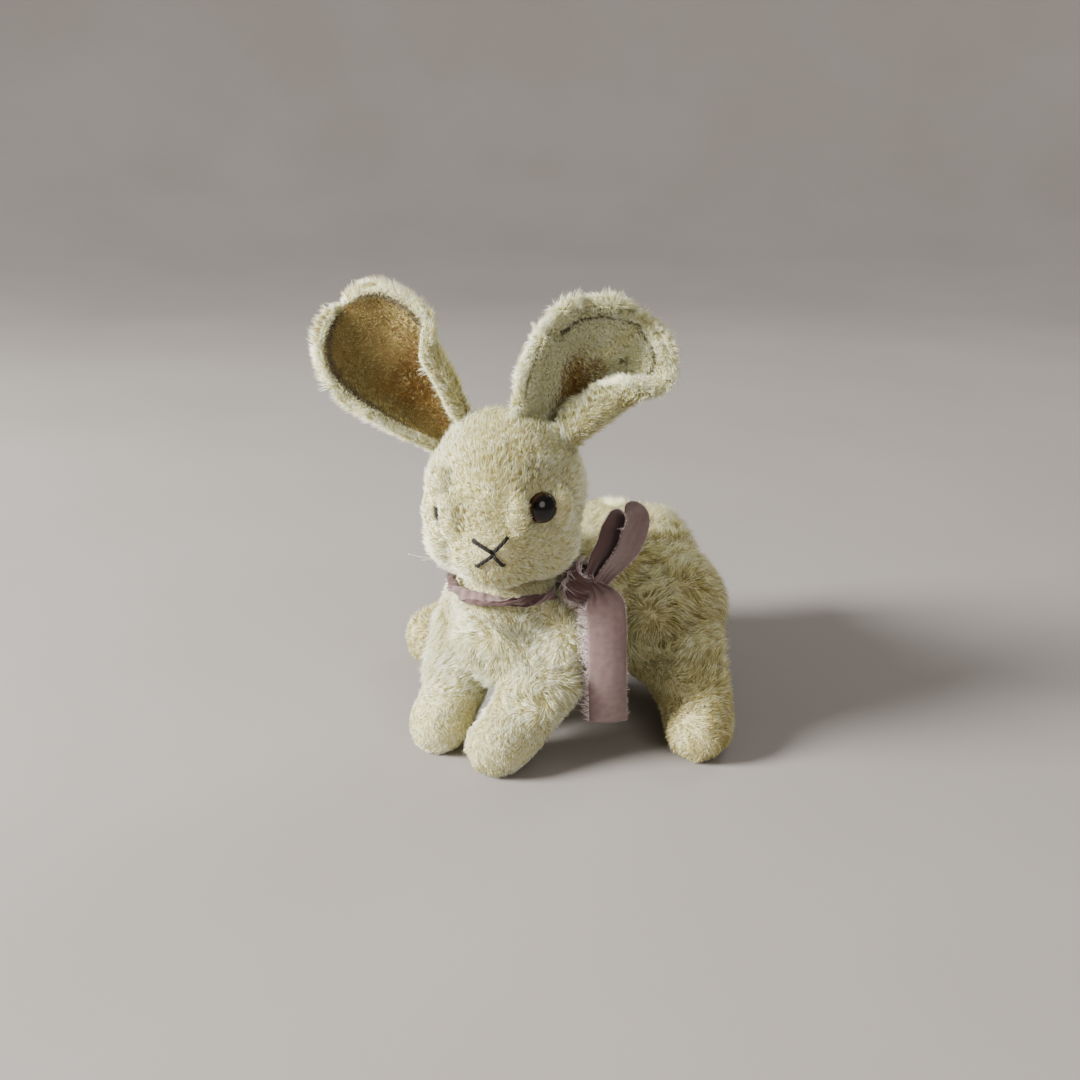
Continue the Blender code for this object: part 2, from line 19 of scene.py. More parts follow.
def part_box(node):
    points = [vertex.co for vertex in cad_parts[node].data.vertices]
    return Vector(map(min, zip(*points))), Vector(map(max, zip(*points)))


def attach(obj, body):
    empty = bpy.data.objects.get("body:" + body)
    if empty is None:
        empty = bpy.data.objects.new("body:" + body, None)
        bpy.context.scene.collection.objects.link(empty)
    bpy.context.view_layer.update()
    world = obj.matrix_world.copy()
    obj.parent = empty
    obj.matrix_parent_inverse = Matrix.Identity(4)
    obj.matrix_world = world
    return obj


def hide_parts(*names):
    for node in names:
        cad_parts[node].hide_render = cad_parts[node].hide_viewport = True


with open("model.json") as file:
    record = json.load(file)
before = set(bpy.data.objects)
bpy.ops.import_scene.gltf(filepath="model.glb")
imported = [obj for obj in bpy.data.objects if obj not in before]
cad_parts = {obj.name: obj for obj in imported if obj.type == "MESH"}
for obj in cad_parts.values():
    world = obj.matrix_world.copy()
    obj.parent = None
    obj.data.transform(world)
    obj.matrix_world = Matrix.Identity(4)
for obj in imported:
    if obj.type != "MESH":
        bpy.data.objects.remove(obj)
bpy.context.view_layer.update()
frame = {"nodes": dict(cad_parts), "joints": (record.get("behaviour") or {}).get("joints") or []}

MM = 0.001
SEED = 7

# The toy's frame, as in the CAD
NECK = np.array((0.5, 18.5, 49.4))        # the point of the head's swivel axis between head and body
HEAD_TURN = math.radians(27)
ORIGIN = np.array(frame["joints"][0]["pos_m"]) / MM - NECK
FACE_CENTRE = np.array((0, -4, 21.5))     # in the head's frame, as are all the face's places
# How far round the head and how high each eye looks, in degrees, and where the lumps of its
# lids are: outwards from the face's middle, up, and forwards
EYES = {
    "left": {"turn": 39, "lift": 9, "lids": [(-6.1, -1.2, -0.7), (4.9, -0.6, 0.0)]},
    "right": {"turn": -43, "lift": 0,
              "lids": [(-4.2, 0, 1.2), (3.7, 0, 1.0), (0, 6.9, 1.2), (0, -6.6, 1.2)]},
}
EYE_RADIUS, EYE_DEPTH = 3.9, 2.6
LID = (2.7, 5.2, 2.3)                      # half-sizes of each lump of a lid
NOSE_CENTRE = (1.4, 14.5)                  # x and height of the crossing of the nose and mouth
# The strokes of each, as two ends from the crossing and how far the floss stands off the plush
STROKES = {
    "nose": [((-5.2, 2.9), (0.1, 0.1), 0.75), ((-0.1, 0.1), (3.4, 3.8), 0.9)],
    "mouth": [((-4.7, -4.1), (0.1, -0.3), 0.75), ((-0.1, -0.3), (2.6, -3.4), 0.85)],
}
FLOSS_STRAND, FLOSS_SPREAD, FLOSS_TWIST = 0.21, (0.31, 0.19), 1.1
WHISKER_TURN, WHISKER_LIFT = math.radians(-58), math.radians(-38)
WHISKER_WAY = (-0.93, -0.33, 0.1)
WHISKER_HAIRS = ((1.2, 8.5), (-0.4, 5.0))  # how far each one's tip rises, and its length
BAND_RADIUS, BAND_Z = 15.9, 48.4          # of the ribbon's turn round the neck
RIBBON_WIDTH = 10.0
BAND_LOWEST = math.radians(-75)            # the side on which the turn sags
CLOTH_HALF = 0.14                          # half the ribbon's thickness
GATHERED_LENGTH = 8.0                      # over which a gathered end spreads to the full width
KNOT = np.array((22.5, 20, 50))
LOOP_PATH = [(25, 21.8, 52), (28.4, 24.6, 61), (29.5, 26.4, 66.3), (31, 27.8, 69.2),
             (33.3, 29, 66.6), (32, 27.3, 59), (26.8, 22.7, 50)]
LONG_PATH = [(25, 21, 50.5), (29, 20.6, 48), (30.8, 20.5, 43), (31.5, 20.4, 30), (31.8, 21, 12.5)]
SHORT_PATH = [(24, 23, 50), (26, 26, 47), (28, 27.5, 42), (29, 28, 31)]
# Each ear: where it is sewn on, how it leans and turns, its size, how far its tip nods forward,
# the share of its width at the base, how open its inner edge is, how its outer edge rolls over
# and how far up, its rim's fur, how pale its lining is, which on the left ear is painted light
# that makes its lit lining paler than the right one's, and the airbrushed line and the painted
# shade of the hollow, as distances from the rim
EARS = {
    "left": {"base": (9.5, 3, 39.5), "lean": 39, "turn": 10, "length": 39, "half_width": 22,
             "nod": 6, "gather": 0.58, "spread": 0.78, "roll": 115, "roll_end": 0.85, "rim": 4.2,
             "pale": 1.0, "smoke": (4.6, 7.4), "smoke_from": 0.45, "hollow_shade": (11, 19)},
    "right": {"base": (-14, 2, 36), "lean": -41, "turn": 14, "length": 44, "half_width": 20.5,
              "nod": 0, "gather": 0.42, "spread": 1.0, "roll": 48, "roll_end": 0.6, "rim": 2.2,
              "pale": 0.0, "smoke": (0.8, 3.0), "smoke_from": 0.1, "hollow_shade": (6, 17)},
}

# Fur
FUR_SHARE = 1.0    # of the strands, which are wider where there are fewer
STRAND_WIDTH = 0.075 / math.sqrt(FUR_SHARE)
MOST_FACES = 190000                        # in one piece of fur
ROOT_DEPTH = 0.15                          # of a strand's start under the plush
ROOT_FACES = 7                             # of each strand, in the deeper tint: its cap and first length

# The studio: each light's place in metres, size, power in watts and colour
LIGHTS = {
    "key": ((-0.62, -0.80, 0.56), 0.4, 52, (1.0, 0.97, 0.92)),
    "fill": ((0.75, -0.35, 0.45), 0.5, 1.8, (1.0, 0.95, 0.88)),
    "back": ((0.1, 0.8, 0.75), 0.5, 4.0, (1.0, 0.98, 0.95)),
}
LIT_POINT = (0, 0, 0.05)
SKY, SKY_STRENGTH = (1.0, 0.95, 0.88, 1), 0.3
PAPER = ((0.27, 0.25, 0.24), (0.295, 0.275, 0.265))
CAMERA_PLACE, CAMERA_LENS = (171, -194, 157), 36.1
CAMERA_TURN, CAMERA_RISE = math.radians(37), math.radians(20)

# Colours, linear
TINTS = {
    "white": (0.96, 0.98, 0.80),
    "ivory": (0.93, 0.93, 0.60),
    "cream": (0.85, 0.82, 0.43),
    "straw": (0.66, 0.60, 0.24),
    "honey": (0.53, 0.41, 0.13),
    "olive": (0.33, 0.30, 0.10),
    "orange": (0.60, 0.31, 0.09),
    "grey": (0.16, 0.14, 0.09),
    "dark": (0.055, 0.046, 0.034),
    "brown": (0.25, 0.13, 0.025),
}
# A strand's root takes a darker tint than its tip: partly the mohair's yellower roots, partly painted
# shade down among the strands.
DEEPER = {  # the tint of a strand's root, under the one of its tip
    "white": "cream", "ivory": "straw", "cream": "straw", "straw": "honey", "honey": "olive",
    "olive": "olive", "orange": "honey", "grey": "straw", "dark": "grey",
    "brown": "brown",
}
ROOTS = np.array([list(TINTS).index(DEEPER[name]) for name in TINTS])
Skin = namedtuple("Skin", "points normals triangles")


# Small helpers

def unit(vectors):
    return vectors / np.maximum(np.linalg.norm(vectors, axis=-1, keepdims=True), 1e-9)


def ramp(values, low, high):
    """0 below low, 1 above high, and smooth between them."""
    share = np.clip((values - low) / (high - low), 0, 1)
    return share * share * (3 - 2 * share)


def bump(points, centre, radius):
    """1 at the centre, falling smoothly to 0 at the radius."""
    away = np.linalg.norm(points - np.asarray(centre, float), axis=-1)
    return 1 - ramp(away, 0, radius)


def ripples(points, size, seed, waves=9):
    """Smooth noise from -1 to 1 or so, whose lumps are about size across."""
    draw = np.random.default_rng(seed)
    directions = unit(draw.normal(size=(waves, 3))) * math.tau / (size * draw.uniform(1.2, 3, (waves, 1)))
    return np.sin(points @ directions.T + draw.uniform(0, math.tau, waves)).sum(-1) / math.sqrt(waves)


def ripple_vectors(points, size, seed):
    return np.stack([ripples(points, size, seed + axis) for axis in range(3)], axis=-1)


def turned(points, angle):
    """Points or directions turned about z."""
    c, s = math.cos(angle), math.sin(angle)
    return points @ np.array(((c, s, 0), (-s, c, 0), (0, 0, 1)))


def from_head(points):
    """Points in the head's own frame, whose front is -Y, carried into the toy's frame."""
    return turned(np.asarray(points, float), HEAD_TURN) + NECK


def to_head(points):
    return turned(points - NECK, -HEAD_TURN)


def face_direction(turn, lift):
    """The direction that is turned from -Y towards +X, and lifted."""
    return np.array((math.sin(turn) * math.cos(lift), -math.cos(turn) * math.cos(lift), math.sin(lift)))


def smooth_path(points, count):
    """That many points along the Catmull-Rom curve through the given ones."""
    points = np.asarray(points, float)
    ends = np.vstack([2 * points[0] - points[1], points, 2 * points[-1] - points[-2]])
    place = np.linspace(0, len(points) - 1, count)
    start = np.minimum(place.astype(int), len(points) - 2)
    t = (place - start)[:, None]
    a, b, c, d = (ends[start + step] for step in range(4))
    return 0.5 * (2 * b + (c - a) * t + (2 * a - 5 * b + 4 * c - d) * t * t
                  + (3 * b - a - 3 * c + d) * t ** 3)


def lengths_along(line):
    """How far along a line of points each of them is."""
    return np.concatenate([[0], np.cumsum(np.linalg.norm(np.diff(line, axis=0), axis=1))])


# Materials

def new_material(name, colour, roughness, metallic=0.0, sheen=0.0, coat=0.0):
    """A Principled material, its node tree, and its shader."""
    made = bpy.data.materials.new(name)
    made.use_nodes = True
    shader = made.node_tree.nodes["Principled BSDF"]
    for socket, value in (("Base Color", (*colour, 1)), ("Roughness", roughness), ("Metallic", metallic),
                          ("Sheen Weight", sheen), ("Coat Weight", coat)):
        shader.inputs[socket].default_value = value
    return made, made.node_tree, shader


def node(tree, kind, **inputs):
    """A new node with some inputs set: a value, or another node's output to link."""
    made = tree.nodes.new(kind)
    for name, value in inputs.items():
        socket = made.inputs[name.replace("_", " ")]
        if isinstance(value, bpy.types.NodeSocket):
            tree.links.new(value, socket)
        else:
            socket.default_value = value
    return made


def noise(tree, scale, detail=3.0, coordinate=None):
    """Noise from 0 to 1 over the object's own coordinates, scale lumps to the metre."""
    place = coordinate or tree.nodes.new("ShaderNodeTexCoord").outputs["Object"]
    return node(tree, "ShaderNodeTexNoise", Vector=place, Scale=scale, Detail=detail).outputs["Fac"]


def blend_colours(tree, share, first, second):
    """A colour ramp from first to second, each a linear colour."""
    made = node(tree, "ShaderNodeValToRGB", Fac=share)
    made.color_ramp.elements[0].position, made.color_ramp.elements[1].position = 0.3, 0.7
    made.color_ramp.elements[0].color = (*first, 1)
    made.color_ramp.elements[1].color = (*second, 1)
    return made.outputs["Color"]


def mixed(tree, share, first, second):
    made = tree.nodes.new("ShaderNodeMix")
    made.data_type = "RGBA"
    for index, value in ((0, share), (6, first), (7, second)):
        if isinstance(value, bpy.types.NodeSocket):
            tree.links.new(value, made.inputs[index])
        else:
            made.inputs[index].default_value = value if index == 0 else (*value, 1)
    return made.outputs[2]


def rough_surface(tree, shader, height, strength, depth):
    """A bump map from a height, depth in metres."""
    relief = node(tree, "ShaderNodeBump", Height=height, Strength=strength, Distance=depth)
    tree.links.new(relief.outputs["Normal"], shader.inputs["Normal"])


def mottled(name, first, second, scale, roughness, depth=0.0002, **settings):
    """A material that wanders between two colours, with a fine relief."""
    made, tree, shader = new_material(name, first, roughness, **settings)
    tree.links.new(blend_colours(tree, noise(tree, scale), first, second), shader.inputs["Base Color"])
    rough_surface(tree, shader, noise(tree, scale * 6, 5.0), 0.6, depth)
    return made


def make_backing(name, light, dark):
    """The woven ground of the mohair, seen between the strands: threads both ways, worn and stained, and
    darker between the threads, painted shade in the weave's gaps.
    """
    made, tree, shader = new_material(name, light, 0.95, sheen=0.3)
    place = tree.nodes.new("ShaderNodeTexCoord").outputs["Object"]
    threads = node(tree, "ShaderNodeTexVoronoi", Vector=place, Scale=1800.0)
    stains = blend_colours(tree, noise(tree, 120.0), dark, light)
    # Darker in the gaps between the threads: painted shade in the weave.
    shade = blend_colours(tree, threads.outputs["Distance"], light, dark)
    tree.links.new(mixed(tree, 0.5, stains, shade), shader.inputs["Base Color"])
    rough_surface(tree, shader, threads.outputs["Distance"], 0.7, 0.0002)
    return made


def make_ribbon_cloth():
    """Worn mauve ribbon: a fine weave, paler where it is rubbed, darker and browner on its back, partly
    the ribbon's own back and partly painted shade for the inside of the bow's loop.
    """
    # back is partly the ribbon's own browner reverse and partly painted shade for the inside of the loop.
    mauve, rubbed, back = (0.16, 0.092, 0.090), (0.26, 0.175, 0.165), (0.08, 0.03, 0.028)
    made, tree, shader = new_material("ribbon_cloth", mauve, 0.72, sheen=0.35)
    place = tree.nodes.new("ShaderNodeTexCoord").outputs["UV"]
    weft = node(tree, "ShaderNodeTexWave", Vector=place, Scale=1.1, Distortion=0.6)
    weft.bands_direction = "Y"
    warp = node(tree, "ShaderNodeTexWave", Vector=place, Scale=1.1, Distortion=0.6)
    wear = blend_colours(tree, noise(tree, 0.55, 6.0, place), mauve, rubbed)
    reverse = node(tree, "ShaderNodeAttribute")
    reverse.attribute_name = "reverse"
    front = mixed(tree, 0.45, wear, mauve)
    tree.links.new(mixed(tree, reverse.outputs["Fac"], front, back), shader.inputs["Base Color"])
    weave = node(tree, "ShaderNodeMath")
    tree.links.new(weft.outputs["Fac"], weave.inputs[0])
    tree.links.new(warp.outputs["Fac"], weave.inputs[1])
    rough_surface(tree, shader, weave.outputs[0], 0.5, 0.00012)
    return made


def make_lining_cloth():
    """The ears' short plush: tan, with painted shade, a warmer brown, in the ear's hollow, and turned
    ivory on the left ear by painted light on its lit lining, as its colour attributes say.
    """
    made, tree, shader = new_material("lining_plush", TINTS["straw"], 0.95, sheen=0.3)
    shares = {}
    for name in ("hollow_shade", "band", "pale"):
        read = node(tree, "ShaderNodeAttribute")
        read.attribute_name = name
        shares[name] = read.outputs["Fac"]
    tan = blend_colours(tree, noise(tree, 260.0, 4.0), (0.24, 0.16, 0.05), (0.36, 0.26, 0.10))
    # Ivory where the pale attribute says: painted light on the left ear's lit lining.
    ground = mixed(tree, shares["pale"], tan, TINTS["ivory"])
    # The warmer brown, mixed in by the hollow's attribute, is painted shade in the ear's hollow.
    warm = blend_colours(tree, noise(tree, 180.0), (0.15, 0.07, 0.01), (0.25, 0.13, 0.025))
    smoke = blend_colours(tree, noise(tree, 900.0, 4.0), TINTS["dark"], TINTS["grey"])
    coloured = mixed(tree, shares["hollow_shade"], ground, warm)
    tree.links.new(mixed(tree, shares["band"], coloured, smoke), shader.inputs["Base Color"])
    rough_surface(tree, shader, noise(tree, 2600.0, 4.0), 0.7, 0.0003)
    return made


def make_eye_glass():
    """Glass eye: a black pupil in a dark brown iris, under a clear gloss."""
    made, tree, shader = new_material("eye_glass", (0.02, 0.01, 0.006), 0.12, coat=0.55)
    shader.inputs["Specular IOR Level"].default_value = 0.15
    shader.inputs["Coat Roughness"].default_value = 0.02
    off_axis = node(tree, "ShaderNodeAttribute")
    off_axis.attribute_name = "off_axis"
    rings = node(tree, "ShaderNodeValToRGB", Fac=off_axis.outputs["Fac"])
    rings.color_ramp.elements[0].position, rings.color_ramp.elements[1].position = 0.62, 0.7
    rings.color_ramp.elements[0].color = (0.003, 0.002, 0.002, 1)
    rings.color_ramp.elements[1].color = (0.075, 0.024, 0.008, 1)
    rim = rings.color_ramp.elements.new(0.97)
    rim.color = (0.01, 0.005, 0.003, 1)
    speckle = mixed(tree, noise(tree, 2500.0, 5.0), (0.4, 0.3, 0.25), (1, 1, 1))
    iris = tree.nodes.new("ShaderNodeMix")
    iris.data_type, iris.blend_type = "RGBA", "MULTIPLY"
    iris.inputs[0].default_value = 1.0
    tree.links.new(rings.outputs["Color"], iris.inputs[6])
    tree.links.new(speckle, iris.inputs[7])
    tree.links.new(iris.outputs[2], shader.inputs["Base Color"])
    return made


def fibre(name, colour, roughness=0.5, sheen=0.12):
    return new_material(name, colour, roughness, sheen=sheen)[0]


# Meshes

def new_piece(name, points, faces, materials, body, kinds=None, facts=None, flat_uv=None):
    """An object from millimetre points in the toy's frame, riding on a body.

    kinds is each face's material, facts the named numbers of each point, and flat_uv each
    point's place on the flat cloth.
    """
    mesh = bpy.data.meshes.new(name)
    count, corners = faces.shape
    mesh.vertices.add(len(points))
    mesh.vertices.foreach_set("co", ((points + ORIGIN) * MM).astype(np.float32).ravel())
    mesh.loops.add(count * corners)
    mesh.loops.foreach_set("vertex_index", faces.astype(np.int32).ravel())
    mesh.polygons.add(count)
    mesh.polygons.foreach_set("loop_start", np.arange(0, count * corners, corners, dtype=np.int32))
    mesh.polygons.foreach_set("use_smooth", np.ones(count, bool))
    for material in materials:
        mesh.materials.append(material)
    if kinds is not None:
        mesh.polygons.foreach_set("material_index", kinds.astype(np.int32))
    for label, values in (facts or {}).items():
        mesh.attributes.new(label, "FLOAT", "POINT").data.foreach_set("value", values.astype(np.float32))
    if flat_uv is not None:
        layer = mesh.uv_layers.new(name="flat")
        layer.data.foreach_set("uv", flat_uv[faces.ravel()].astype(np.float32).ravel())
    mesh.update(calc_edges=True)
    made = bpy.data.objects.new(name, mesh)
    bpy.context.scene.collection.objects.link(made)
    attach(made, body)
    return made


def skin_of(mesh):
    """A mesh's points, normals and triangles, in the toy's frame."""
    mesh.calc_loop_triangles()
    points = np.empty(len(mesh.vertices) * 3, np.float32)
    mesh.vertices.foreach_get("co", points)
    normals = np.empty(len(mesh.vertices) * 3, np.float32)
    mesh.vertex_normals.foreach_get("vector", normals)
    triangles = np.empty(len(mesh.loop_triangles) * 3, np.int32)
    mesh.loop_triangles.foreach_get("vertices", triangles)
    return Skin(points.reshape(-1, 3) / MM - ORIGIN, normals.reshape(-1, 3).astype(float),
                triangles.reshape(-1, 3))


def tree_of(skin):
    return BVHTree.FromPolygons(skin.points.tolist(), skin.triangles.tolist())


def grid_faces(rows, columns, base=0, flip=False):
    """Quads over rows x columns points that are numbered row by row."""
    low = base + np.arange((rows - 1) * columns).reshape(rows - 1, columns)[:, :-1].ravel()
    quads = np.stack([low, low + 1, low + columns + 1, low + columns], axis=1)
    return quads[:, ::-1] if flip else quads


def grid_normals(points):
    """The normals of a grid of points, rows along its second side crossed with its first."""
    along = np.gradient(points, axis=0)
    across = np.gradient(points, axis=1)
    return unit(np.cross(across, along))


def leaf(points, front, back):
    """A closed leaf of cloth over a grid: its points, quads, and 1 for the points of its back.

    front and back are how far its two faces stand from the grid, along the grid's normals.
    """
    rows, columns = points.shape[:2]
    normals = grid_normals(points)
    both = np.concatenate([(points + normals * side).reshape(-1, 3) for side in (front, back)])
    size = rows * columns
    index = np.arange(size).reshape(rows, columns)
    edge = np.concatenate([index[0, :-1], index[:-1, -1], index[-1, :0:-1], index[:0:-1, 0]])
    following = np.roll(edge, -1)
    rim = np.stack([edge, edge + size, following + size, following], axis=1)
    faces = np.concatenate([grid_faces(rows, columns), grid_faces(rows, columns, size, flip=True), rim])
    return both, faces, np.repeat((0.0, 1.0), size)


def tube(path, radius, sides):
    """A closed tube round a path, as points and triangles. Each point has its radius, or all share one."""
    path = np.asarray(path, float)
    count = len(path)
    radius = np.broadcast_to(radius, count)
    along = unit(np.gradient(path, axis=0))
    helper = np.array((0.31, 0.17, 0.93))
    first = unit(np.cross(along, helper))
    second = np.cross(along, first)
    angles = np.arange(sides) * math.tau / sides
    ring = first[:, None] * np.cos(angles)[:, None] + second[:, None] * np.sin(angles)[:, None]
    points = (path[:, None] + ring * radius[:, None, None]).reshape(-1, 3)
    points = np.vstack([points, path[0], path[-1]])
    turn = np.arange(sides)
    following = (turn + 1) % sides
    faces = []
    for row in range(count - 1):
        low, high = row * sides, (row + 1) * sides
        faces.append(np.stack([low + turn, low + following, high + following], axis=1))
        faces.append(np.stack([low + turn, high + following, high + turn], axis=1))
    last = (count - 1) * sides
    faces.append(np.stack([following, turn, np.full(sides, count * sides)], axis=1))
    faces.append(np.stack([last + turn, last + following, np.full(sides, count * sides + 1)], axis=1))
    return points, np.concatenate(faces)


def joined_parts(parts):
    """Several (points, faces) as one."""
    points, faces, base = [], [], 0
    for some_points, some_faces in parts:
        points.append(some_points)
        faces.append(some_faces + base)
        base += len(some_points)
    return np.concatenate(points), np.concatenate(faces)


# Fur

def scatter(skin, density, draw):
    """Roots spread over a skin: their places, normals, and the triangle and weights of each.

    density takes places and normals, and gives strands to the square millimetre.
    """
    corners = skin.points[skin.triangles]
    cross = np.cross(corners[:, 1] - corners[:, 0], corners[:, 2] - corners[:, 0])
    doubled = np.linalg.norm(cross, axis=1)
    share = np.cumsum(doubled / 2 * density(corners.mean(1), cross / np.maximum(doubled, 1e-9)[:, None]))
    count = int(share[-1] * FUR_SHARE)
    picks = np.searchsorted(share, draw.random(count) * share[-1])
    side, depth = np.sqrt(draw.random(count)), draw.random(count)
    weights = np.stack([1 - side, side * (1 - depth), side * depth], axis=1)
    roots = np.einsum("ij,ijk->ik", weights, corners[picks])
    normals = unit(np.einsum("ij,ijk->ik", weights, skin.normals[skin.triangles[picks]]))
    return roots, normals, skin.triangles[picks], weights


def clumped(roots, tips, amount, every, draw):
    """The tips drawn towards the tip of the nearest of a few guide strands, and that guide."""
    guides = draw.choice(len(roots), max(1, len(roots) // every), replace=False)
    near = KDTree(len(guides))
    for index, guide in enumerate(guides):
        near.insert(roots[guide], index)
    near.balance()
    nearest = guides[[near.find(root)[1] for root in roots]]
    gather = tips[nearest] + 0.3 * (roots - roots[nearest])
    return tips + (gather - tips) * np.reshape(amount, (-1, 1)), nearest


def strand_mesh(roots, middles, tips, widths, rings):
    """Closed tapered strands, three-sided, bending from root past middle to tip."""
    steps = np.linspace(0, 1, rings + 1)[None, :, None]
    line = ((1 - steps) ** 2 * roots[:, None] + 2 * steps * (1 - steps) * middles[:, None]
            + steps ** 2 * tips[:, None])
    along = unit(np.gradient(line, axis=1))
    helper = unit(np.cross(tips - roots, middles - roots) + 1e-6)[:, None]
    side = unit(helper - along * (helper * along).sum(-1, keepdims=True))
    other = np.cross(along, side)
    angles = np.arange(3) * math.tau / 3
    taper = (1 - 0.75 * steps ** 1.5) * widths[:, None, None]
    ring = side[:, :, None] * np.cos(angles)[:, None] + other[:, :, None] * np.sin(angles)[:, None]
    rounds = (line[:, :-1, None] + ring[:, :-1] * taper[:, :-1, :, None]).reshape(len(roots), -1, 3)
    points = np.concatenate([rounds, tips[:, None]], axis=1)
    each = 3 * rings + 1
    faces = [(0, 2, 1)]
    for step in range(rings):
        low = 3 * step
        for corner in range(3):
            following = (corner + 1) % 3
            if step == rings - 1:
                faces.append((low + corner, low + following, each - 1))
            else:
                faces.append((low + corner, low + following, low + 3 + following))
                faces.append((low + corner, low + 3 + following, low + 3 + corner))
    faces = np.array(faces)[None] + (np.arange(len(roots)) * each)[:, None, None]
    return points.reshape(-1, 3), faces.reshape(-1, 3)


def chosen_tints(weights, chance):
    """One tint for each strand by its chance, from 0 to 1. weights has a number, or one for each
    strand, by tint."""
    count = len(chance)
    table = [np.broadcast_to(np.asarray(weights.get(name, 0.0), float), count) for name in TINTS]
    steps = np.cumsum(np.maximum(np.stack(table, axis=1), 0), axis=1)
    return (steps < (chance * steps[:, -1])[:, None]).sum(axis=1)


def grow(name, body, roots, normals, flow, length, lift, weights, draw, rings=2, clump=0.5, every=14,
         width=1.0, stray=0.3):
    """Strands of fur as one or more pieces.

    flow is the way the fur lies, lift from 0 for flat to 1 for upright, and stray how much
    single strands differ.
    """
    count = len(roots)
    flow = flow - normals * (flow * normals).sum(1, keepdims=True)
    flow = unit(flow) + draw.normal(0, stray, (count, 3))
    lift = np.clip(lift + draw.normal(0, 0.08, count), 0.08, 1)[:, None]
    length = (length * draw.uniform(0.65, 1.15, count))[:, None]
    heading = unit(normals * lift + flow * (1 - lift))
    tips = roots + heading * length
    tips, guides = clumped(roots, tips, clump * draw.uniform(0.5, 1, count), every, draw)
    middles = roots + unit(normals + 0.6 * heading + draw.normal(0, 0.25, (count, 3))) * length * 0.5
    for points in (middles, tips):
        points[:, 2] = np.maximum(points[:, 2], 0.12)
    chance = (draw.random(count)[guides] + draw.uniform(-0.22, 0.22, count)) % 1
    tints = chosen_tints(weights, chance)
    widths = STRAND_WIDTH * width * draw.uniform(0.7, 1.25, count)
    order = np.argsort(roots[:, 1] + 0.3 * roots[:, 0])
    per_strand = 6 * rings - 2
    share = max(1, math.ceil(count * per_strand / MOST_FACES))
    for index, some in enumerate(np.array_split(order, share)):
        points, faces = strand_mesh(roots[some] - normals[some] * ROOT_DEPTH, middles[some], tips[some],
                                    widths[some], rings)
        kinds = np.repeat(tints[some][:, None], per_strand, axis=1)
        # The root faces take the darker root tint, partly painted shade among the strands.
        kinds[:, :ROOT_FACES] = ROOTS[tints[some]][:, None]
        label = f"{name}_{index + 1}" if share > 1 else name
        made = new_piece(label, points, faces, fur_materials, body, kinds=kinds.ravel())
    print(f"{name}: {count} strands", flush=True)


# Plush surfaces

def pelt(name, body, panels, fillers, voxel, extra=()):
    """One smooth plush skin over the CAD's panels. fillers close the hollows under them."""
    joined = bmesh.new()
    for names, grown in ((panels, 0.12), (fillers, 0.9)):
        for label in names:
            before = len(joined.verts)
            joined.from_mesh(frame["nodes"][label].data)
            joined.verts.ensure_lookup_table()
            joined.normal_update()
            for vert in joined.verts[before:]:
                vert.co += vert.normal * grown * MM
    for centre, half_sizes, turn in extra:
        middle = Matrix.Translation(Vector(centre + ORIGIN) * MM)
        place = middle @ turn @ Matrix.Diagonal((*half_sizes, 1))
        bmesh.ops.create_uvsphere(joined, u_segments=24, v_segments=16, radius=MM, matrix=place)
    mesh = bpy.data.meshes.new(name)
    joined.to_mesh(mesh)
    joined.free()
    made = bpy.data.objects.new(name, mesh)
    bpy.context.scene.collection.objects.link(made)
    remesh = made.modifiers.new("remesh", "REMESH")
    remesh.mode, remesh.voxel_size = "VOXEL", voxel * MM
    smooth = made.modifiers.new("smooth", "SMOOTH")
    smooth.factor, smooth.iterations = 0.5, 6
    bpy.context.view_layer.update()
    shaped = bpy.data.meshes.new_from_object(made.evaluated_get(bpy.context.evaluated_depsgraph_get()))
    made.modifiers.clear()
    made.data = shaped
    keep_outside(shaped)
    lump(shaped)
    shaped.shade_smooth()
    shaped.materials.clear()
    shaped.materials.append(materials["backing"])
    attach(made, body)
    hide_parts(*panels)
    return made, skin_of(shaped)


def keep_outside(mesh):
    """Leaves only the largest closed surface, the outside one."""
    bm = bmesh.new()
    bm.from_mesh(mesh)
    left, largest = set(bm.verts), set()
    while left:
        island, frontier = set(), [left.pop()]
        while frontier:
            vert = frontier.pop()
            island.add(vert)
            for edge in vert.link_edges:
                other = edge.other_vert(vert)
                if other in left:
                    left.discard(other)
                    frontier.append(other)
        if len(island) > len(largest):
            largest = island
    bmesh.ops.delete(bm, geom=[vert for vert in bm.verts if vert not in largest], context="VERTS")
    bm.to_mesh(mesh)
    bm.free()


def lump(mesh, amount=0.3, size=9.0):
    """The slight unevenness of old wood wool stuffing."""
    skin = skin_of(mesh)
    moved = skin.points + skin.normals * (amount * ripples(skin.points, size, SEED))[:, None]
    mesh.vertices.foreach_set("co", ((moved + ORIGIN) * MM).astype(np.float32).ravel())
    mesh.update()


